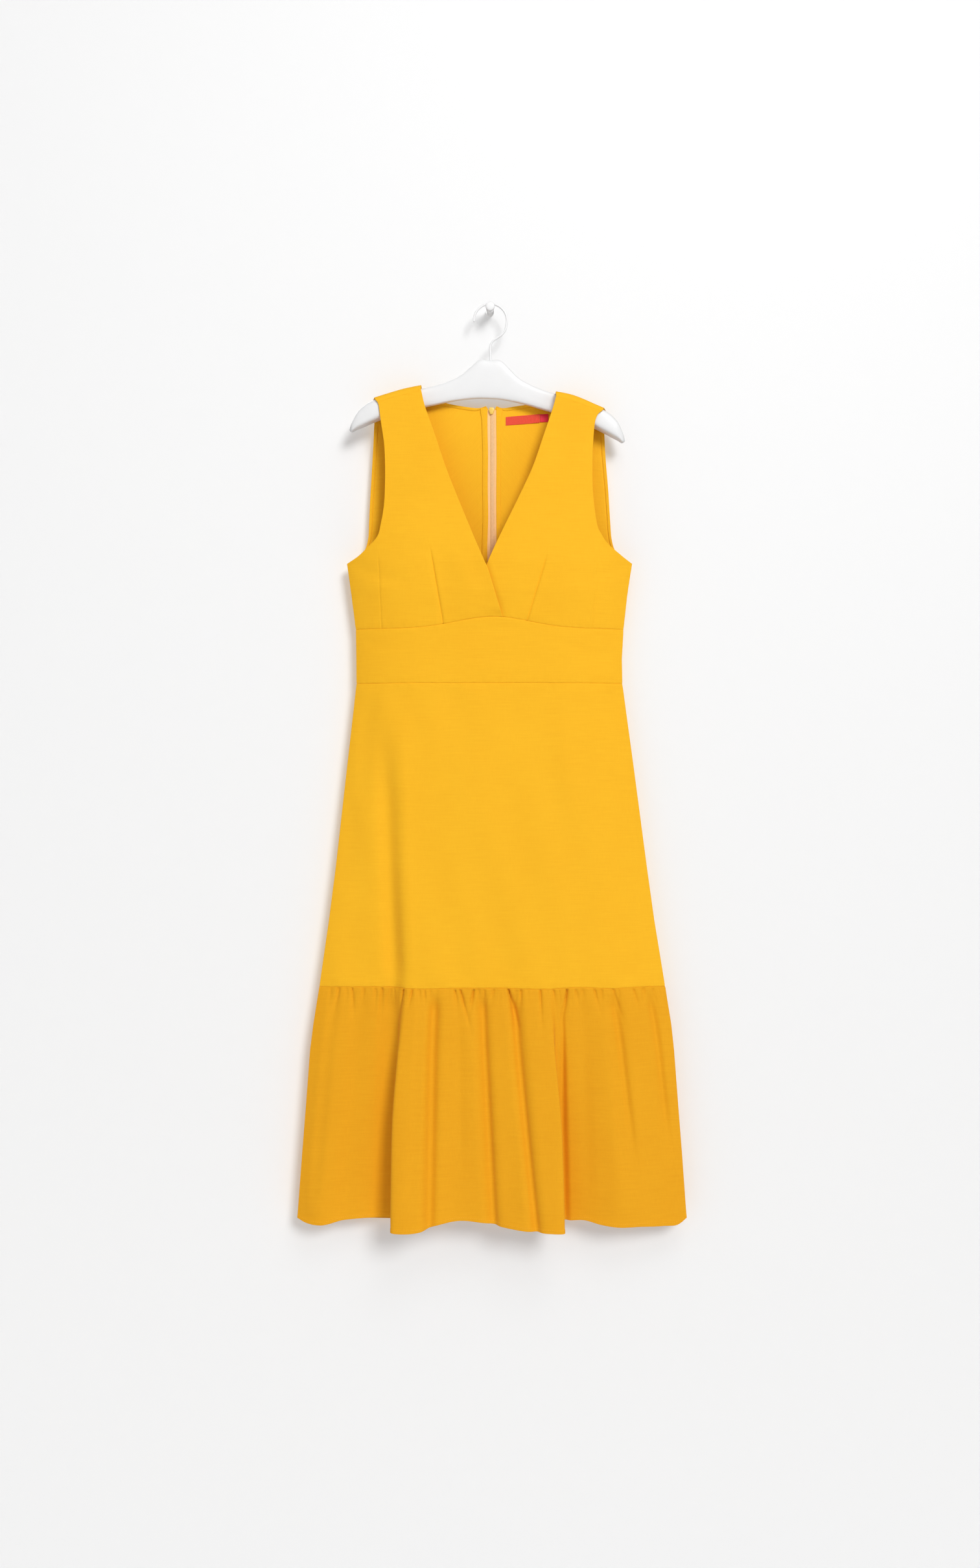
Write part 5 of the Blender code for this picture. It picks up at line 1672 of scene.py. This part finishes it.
def add_peg(finish):
    """The turned peg: its profile carried round the line that stands out from the wall."""
    steps = np.array(PEG)
    along = np.concatenate([[0], np.cumsum(np.hypot(*np.diff(steps, axis=0).T))])
    even = np.unique(np.concatenate([along, np.linspace(0, along[-1], 60)]))
    depth = np.interp(even, along, steps[:, 0])[:, None]
    radius = np.maximum(np.interp(even, along, steps[:, 1]), 0.05)[:, None]
    angle = np.linspace(0, 2 * math.pi, 64, endpoint=False)[None, :]
    points = np.stack(
        [radius * np.cos(angle), -depth + 0 * angle, radius * np.sin(angle)], axis=-1
    )
    return lofted("peg_turned", points[:, ::-1], finish, ["wall_peg"])


def add_node(tree, kind, inputs=None, **settings):
    """A shader node; its inputs are values to set or sockets to link, by name or number."""
    made = tree.nodes.new(kind)
    for key, value in settings.items():
        setattr(made, key, value)
    for key, value in (inputs or {}).items():
        if isinstance(value, bpy.types.NodeSocket):
            tree.links.new(value, made.inputs[key])
        else:
            made.inputs[key].default_value = value
    return made


def new_finish(name, colour, **sockets):
    """A Principled material; what is the same all over is set on the shader's own sockets."""
    made = bpy.data.materials.new(name)
    made.use_nodes = True
    shader = made.node_tree.nodes["Principled BSDF"]
    shader.inputs["Base Color"].default_value = colour
    for key, value in sockets.items():
        shader.inputs[key.replace("_", " ")].default_value = value
    return made, made.node_tree, shader


def stretched_noise(tree, place, scale, detail=2.0):
    """Noise drawn out along one thread direction: scale is how many blotches a metre, each way."""
    moved = add_node(tree, "ShaderNodeMapping", {"Vector": place, "Scale": scale})
    noise = add_node(
        tree, "ShaderNodeTexNoise", {"Vector": moved.outputs[0], "Scale": 1.0, "Detail": detail}
    )
    return noise.outputs[0]


def worked(tree, a, b, operation="ADD"):
    """The sum of two values or sockets, or what another operation makes of them."""
    return add_node(tree, "ShaderNodeMath", {0: a, 1: b}, operation=operation).outputs[0]


# Slubs along the warp: how much shorter they are, how much they count, and what is added to them
WARP_SHORTER = 2.5
WARP_SHARE = 0.5
WARP_ADDED = 0.25
# The grain that gives the darker dye and the one that gives the brighter
GRAIN_RANGE = (0.72, 1.28)
# What the grain and the wide blotches count in the dye, and the blotches a metre each way
GRAIN_SHARE = 0.6
CLOUD_SHARE = 0.5
CLOUD_SCALE = (14.0, 14.0, 9.0)
# How high the threads stand in the bump beside the slubs
WEAVE_SHARE = 0.12


def woven_finish(name, bright, dark, slub, pitch, relief, **sockets):
    """Plain-woven cloth.

    Slubs are noise drawn out along the warp and the weft: slub is how many a metre along a
    thread and across it. They mix two dyes and lift the threads a little. The weave itself
    is the product of two sines, one across each set of threads, and feeds the bump only.
    """
    made, tree, shader = new_finish(name, bright, **sockets)
    threads = add_node(tree, "ShaderNodeUVMap", uv_map="weave").outputs[0]
    weft = stretched_noise(tree, threads, (slub[0], slub[1], 1.0), 3.0)
    warp = stretched_noise(tree, threads, (slub[1], WARP_SHORTER * slub[0], 1.0))
    along = worked(tree, worked(tree, warp, WARP_SHARE, "MULTIPLY"), WARP_ADDED)
    grain = worked(tree, weft, along)
    low, high = GRAIN_RANGE
    tint = add_node(
        tree,
        "ShaderNodeMapRange",
        {"Value": grain, "From Min": low, "From Max": high, "To Min": 0.0, "To Max": 1.0},
    ).outputs[0]
    place = add_node(tree, "ShaderNodeTexCoord").outputs["Object"]
    cloudy = stretched_noise(tree, place, CLOUD_SCALE, 3.0)
    shares = [
        worked(tree, value, share, "MULTIPLY")
        for value, share in ((tint, GRAIN_SHARE), (cloudy, CLOUD_SHARE))
    ]
    mixed = worked(tree, *shares)
    dye = add_node(tree, "ShaderNodeMix", data_type="RGBA")
    tree.links.new(mixed, dye.inputs["Factor"])
    dye.inputs["A"].default_value = dark
    dye.inputs["B"].default_value = bright
    tree.links.new(dye.outputs["Result"], shader.inputs["Base Color"])
    apart = add_node(tree, "ShaderNodeSeparateXYZ", {0: threads})
    waves = [
        add_node(
            tree,
            "ShaderNodeMath",
            {0: worked(tree, apart.outputs[k], 2 * math.pi / pitch, "MULTIPLY")},
            operation="SINE",
        ).outputs[0]
        for k in (0, 1)
    ]
    weave = worked(tree, waves[0], waves[1], "MULTIPLY")
    height = worked(tree, worked(tree, weave, WEAVE_SHARE, "MULTIPLY"), grain)
    bump = add_node(
        tree, "ShaderNodeBump", {"Height": height, "Strength": 1.0, "Distance": relief}
    )
    tree.links.new(bump.outputs[0], shader.inputs["Normal"])
    return made


MOULDED_DARKER = 0.97


def moulded_finish(name, colour, roughness, relief, scale):
    """Smooth moulded or painted surface: faint blotches, a little darker, that also bump it."""
    made, tree, shader = new_finish(
        name, colour, Roughness=roughness, Coat_Weight=0.15, Coat_Roughness=0.3
    )
    place = add_node(tree, "ShaderNodeTexCoord").outputs["Object"]
    noise = stretched_noise(tree, place, (scale, scale, scale), 3.0)
    bump = add_node(tree, "ShaderNodeBump", {"Height": noise, "Strength": 1.0, "Distance": relief})
    tree.links.new(bump.outputs[0], shader.inputs["Normal"])
    tone = add_node(tree, "ShaderNodeMix", data_type="RGBA")
    tree.links.new(noise, tone.inputs["Factor"])
    tone.inputs["A"].default_value = (*(MOULDED_DARKER * c for c in colour[:3]), 1.0)
    tone.inputs["B"].default_value = colour
    tree.links.new(tone.outputs["Result"], shader.inputs["Base Color"])
    return made


def add_camera():
    """The photograph's view: level, straight at the wall, one pixel to a millimetre at the cloth."""
    data = bpy.data.cameras.new("camera")
    data.sensor_fit = "VERTICAL"
    data.sensor_height = SENSOR_HEIGHT
    data.lens = SENSOR_HEIGHT * (CAMERA_AWAY - CAMERA_FOCUS) / PHOTO_SIZE[1]
    data.clip_end = 50.0
    camera = bpy.data.objects.new("camera", data)
    camera.location = (0.0, -CAMERA_AWAY * MM, CAMERA_HEIGHT * MM)
    camera.rotation_euler = (math.pi / 2, 0.0, 0.0)
    bpy.context.scene.collection.objects.link(camera)
    bpy.context.scene.camera = camera


def facing(across, ahead, up):
    """The turn that makes a light shine from a direction."""
    return math.atan2(math.hypot(across, ahead), up), 0.0, math.atan2(across, -ahead)


def add_soft_light(name, towards, spread, strength):
    """A distant light that lies in the direction towards it, as wide as spread in degrees."""
    data = bpy.data.lights.new(name, "SUN")
    data.angle = math.radians(spread)
    data.energy = strength
    made = bpy.data.objects.new(name, data)
    made.rotation_euler = facing(*towards)
    bpy.context.scene.collection.objects.link(made)


def add_disk_light(name, place, aim, size, strength):
    """A round lamp of a given width that faces a point."""
    data = bpy.data.lights.new(name, "AREA")
    data.shape = "DISK"
    data.size = size
    data.energy = strength
    made = bpy.data.objects.new(name, data)
    made.location = place
    made.rotation_euler = facing(*np.subtract(place, aim))
    bpy.context.scene.collection.objects.link(made)


def add_stage_plane(name, corners, finish):
    """One rectangle of the surroundings, which isn't part of the object."""
    mesh = bpy.data.meshes.new(name)
    mesh.from_pydata(corners, [], [(0, 1, 2, 3)])
    mesh.materials.append(finish)
    made = bpy.data.objects.new(name, mesh)
    bpy.context.scene.collection.objects.link(made)
    return made


# The surroundings, in metres
STAGE_HALF = 6.0
WALL_BEHIND = 0.0008
WALL_FOOT = -2.4
WALL_TOP = 4.0
FLOOR_HEIGHT = -1.985


def add_stage():
    """A pale wall behind the peg, seen from the front only, and a pale floor below."""
    made, tree, shader = new_finish("wall_paint", srgb(224, 224, 224), Roughness=0.95)
    shader.inputs["Specular IOR Level"].default_value = 0.0
    shader.inputs["Emission Color"].default_value = srgb(108, 108, 108)
    shader.inputs["Emission Strength"].default_value = 1.0
    side = add_node(tree, "ShaderNodeNewGeometry").outputs["Backfacing"]
    clear = add_node(tree, "ShaderNodeBsdfTransparent").outputs[0]
    mix = add_node(tree, "ShaderNodeMixShader", {0: side, 1: shader.outputs[0], 2: clear})
    tree.links.new(mix.outputs[0], tree.nodes["Material Output"].inputs["Surface"])
    corners = [
        (side * STAGE_HALF, WALL_BEHIND, height)
        for side, height in ((-1, WALL_FOOT), (1, WALL_FOOT), (1, WALL_TOP), (-1, WALL_TOP))
    ]
    wall = add_stage_plane("wall", corners, made)
    wall.visible_diffuse = False
    wall.visible_glossy = False
    wall.visible_transmission = False
    wall.visible_shadow = False
    floor_paint, _, shader = new_finish("floor_paint", srgb(236, 236, 236), Roughness=0.9)
    shader.inputs["Specular IOR Level"].default_value = 0.0
    corners = [
        (side * STAGE_HALF, ahead * STAGE_HALF, FLOOR_HEIGHT)
        for side, ahead in ((-1, -1), (1, -1), (1, 1), (-1, 1))
    ]
    add_stage_plane("floor", corners, floor_paint)


def add_lights():
    """An even pale surround, a soft key and a lamp from the upper right, a fill and a light behind."""
    world = bpy.data.worlds.new("studio")
    bpy.context.scene.world = world
    world.use_nodes = True
    world.node_tree.nodes["Background"].inputs["Color"].default_value = (1, 1, 1, 1)
    world.node_tree.nodes["Background"].inputs["Strength"].default_value = 0.35
    add_soft_light("key", towards=(0.45, -1.0, 0.58), spread=20.0, strength=1.56)
    add_disk_light("upper", (0.5, -1.6, 0.9), aim=(0.0, 0.0, -0.7), size=1.2, strength=10.0)
    add_soft_light("fill", towards=(-0.9, -1.0, 0.1), spread=70.0, strength=0.3)
    add_soft_light("behind", towards=(-0.4, 1.0, 0.5), spread=40.0, strength=1.3)


add_camera()
CLOTH_SURFACE = {
    "Roughness": 0.8,
    "Specular_IOR_Level": 0.3,
    "Specular_Tint": (1.0, 0.92, 0.75, 1.0),
    "Sheen_Weight": 0.06,
    "Sheen_Roughness": 0.5,
    "Sheen_Tint": (1.0, 0.8, 0.4, 1.0),
}
LINEN_THREADS = {"slub": (26.0, 620.0), "pitch": 0.0009, "relief": 0.00009}
RIBBON_THREADS = {"slub": (120.0, 2200.0), "pitch": 0.0006, "relief": 0.00004, "Roughness": 0.6}
MOULDED = (
    # name          colour           rough  relief   blotches a metre
    ("coil_nylon", (255, 210, 152), 0.5, 0.00003, 900.0),
    ("hanger_white", (233, 233, 233), 0.38, 0.0002, 60.0),
    ("hook_white", (238, 238, 238), 0.32, 0.00005, 200.0),
    ("peg_white", (238, 238, 238), 0.4, 0.00005, 200.0),
    ("zip_metal", (240, 200, 90), 0.35, 0.00005, 600.0),
)
linen = woven_finish(
    "linen", bright=srgb(248, 187, 32), dark=srgb(241, 174, 23), **LINEN_THREADS, **CLOTH_SURFACE
)
# The frill's linen: the same linen in darker colours, which paint in the shade that falls on the lower,
# gathered frill
shaded_frill_linen = woven_finish(
    "frill_linen_painted_shade", bright=srgb(237, 168, 22), dark=srgb(228, 155, 12), **LINEN_THREADS, **CLOTH_SURFACE
)
thread = woven_finish(
    "thread", bright=srgb(247, 186, 40), dark=srgb(238, 170, 26),
    slub=(300.0, 3000.0), pitch=0.0006, relief=0.00002, Roughness=0.7,
)
tape = woven_finish(
    "zip_tape", bright=srgb(255, 207, 146), dark=srgb(246, 192, 126),
    slub=(60.0, 1600.0), pitch=0.0007, relief=0.00004, Roughness=0.75,
)
orange_ribbon = woven_finish(
    "label_orange", bright=srgb(236, 84, 54), dark=srgb(222, 58, 38), **RIBBON_THREADS
)
red_ribbon = woven_finish(
    "label_red", bright=srgb(238, 26, 66), dark=srgb(222, 14, 50), **RIBBON_THREADS
)
nylon, hanger_paint, hook_paint, peg_paint, zip_paint = (
    moulded_finish(name, srgb(*colour), roughness, relief, scale)
    for name, colour, roughness, relief, scale in MOULDED
)

fronts = add_bodice_fronts(linen)
backs, back_rows = add_bodice_backs(linen)
midriffs = add_midriff(linen)
skirts = add_skirt(linen)
frills, hem_rows = add_frill(shaded_frill_linen)
tapes = add_zip_tapes(tape)
add_coil(nylon)
add_slider_and_pull(zip_paint)
allowances, allowance_rows = add_zip_allowances(linen)
add_stitches("hem_stitches", hem_rows, thread)
add_stitches("armhole_and_neck_stitches", back_rows, thread)
add_stitches("zip_stitches", allowance_rows, thread)
label = add_tab(
    "neck_label_ribbed", LABEL, orange_ribbon, "neck_label", pitch=2.05, high=0.3
)
size_tab = add_tab(
    "size_tab_woven", SIZE_TAB, red_ribbon, "size_tab", pitch=0.9, high=0.05
)
add_hanger(hanger_paint)
add_hook(hook_paint)
add_peg(peg_paint)

add_stage()
add_lights()
bpy.context.scene.view_settings.view_transform = "Standard"
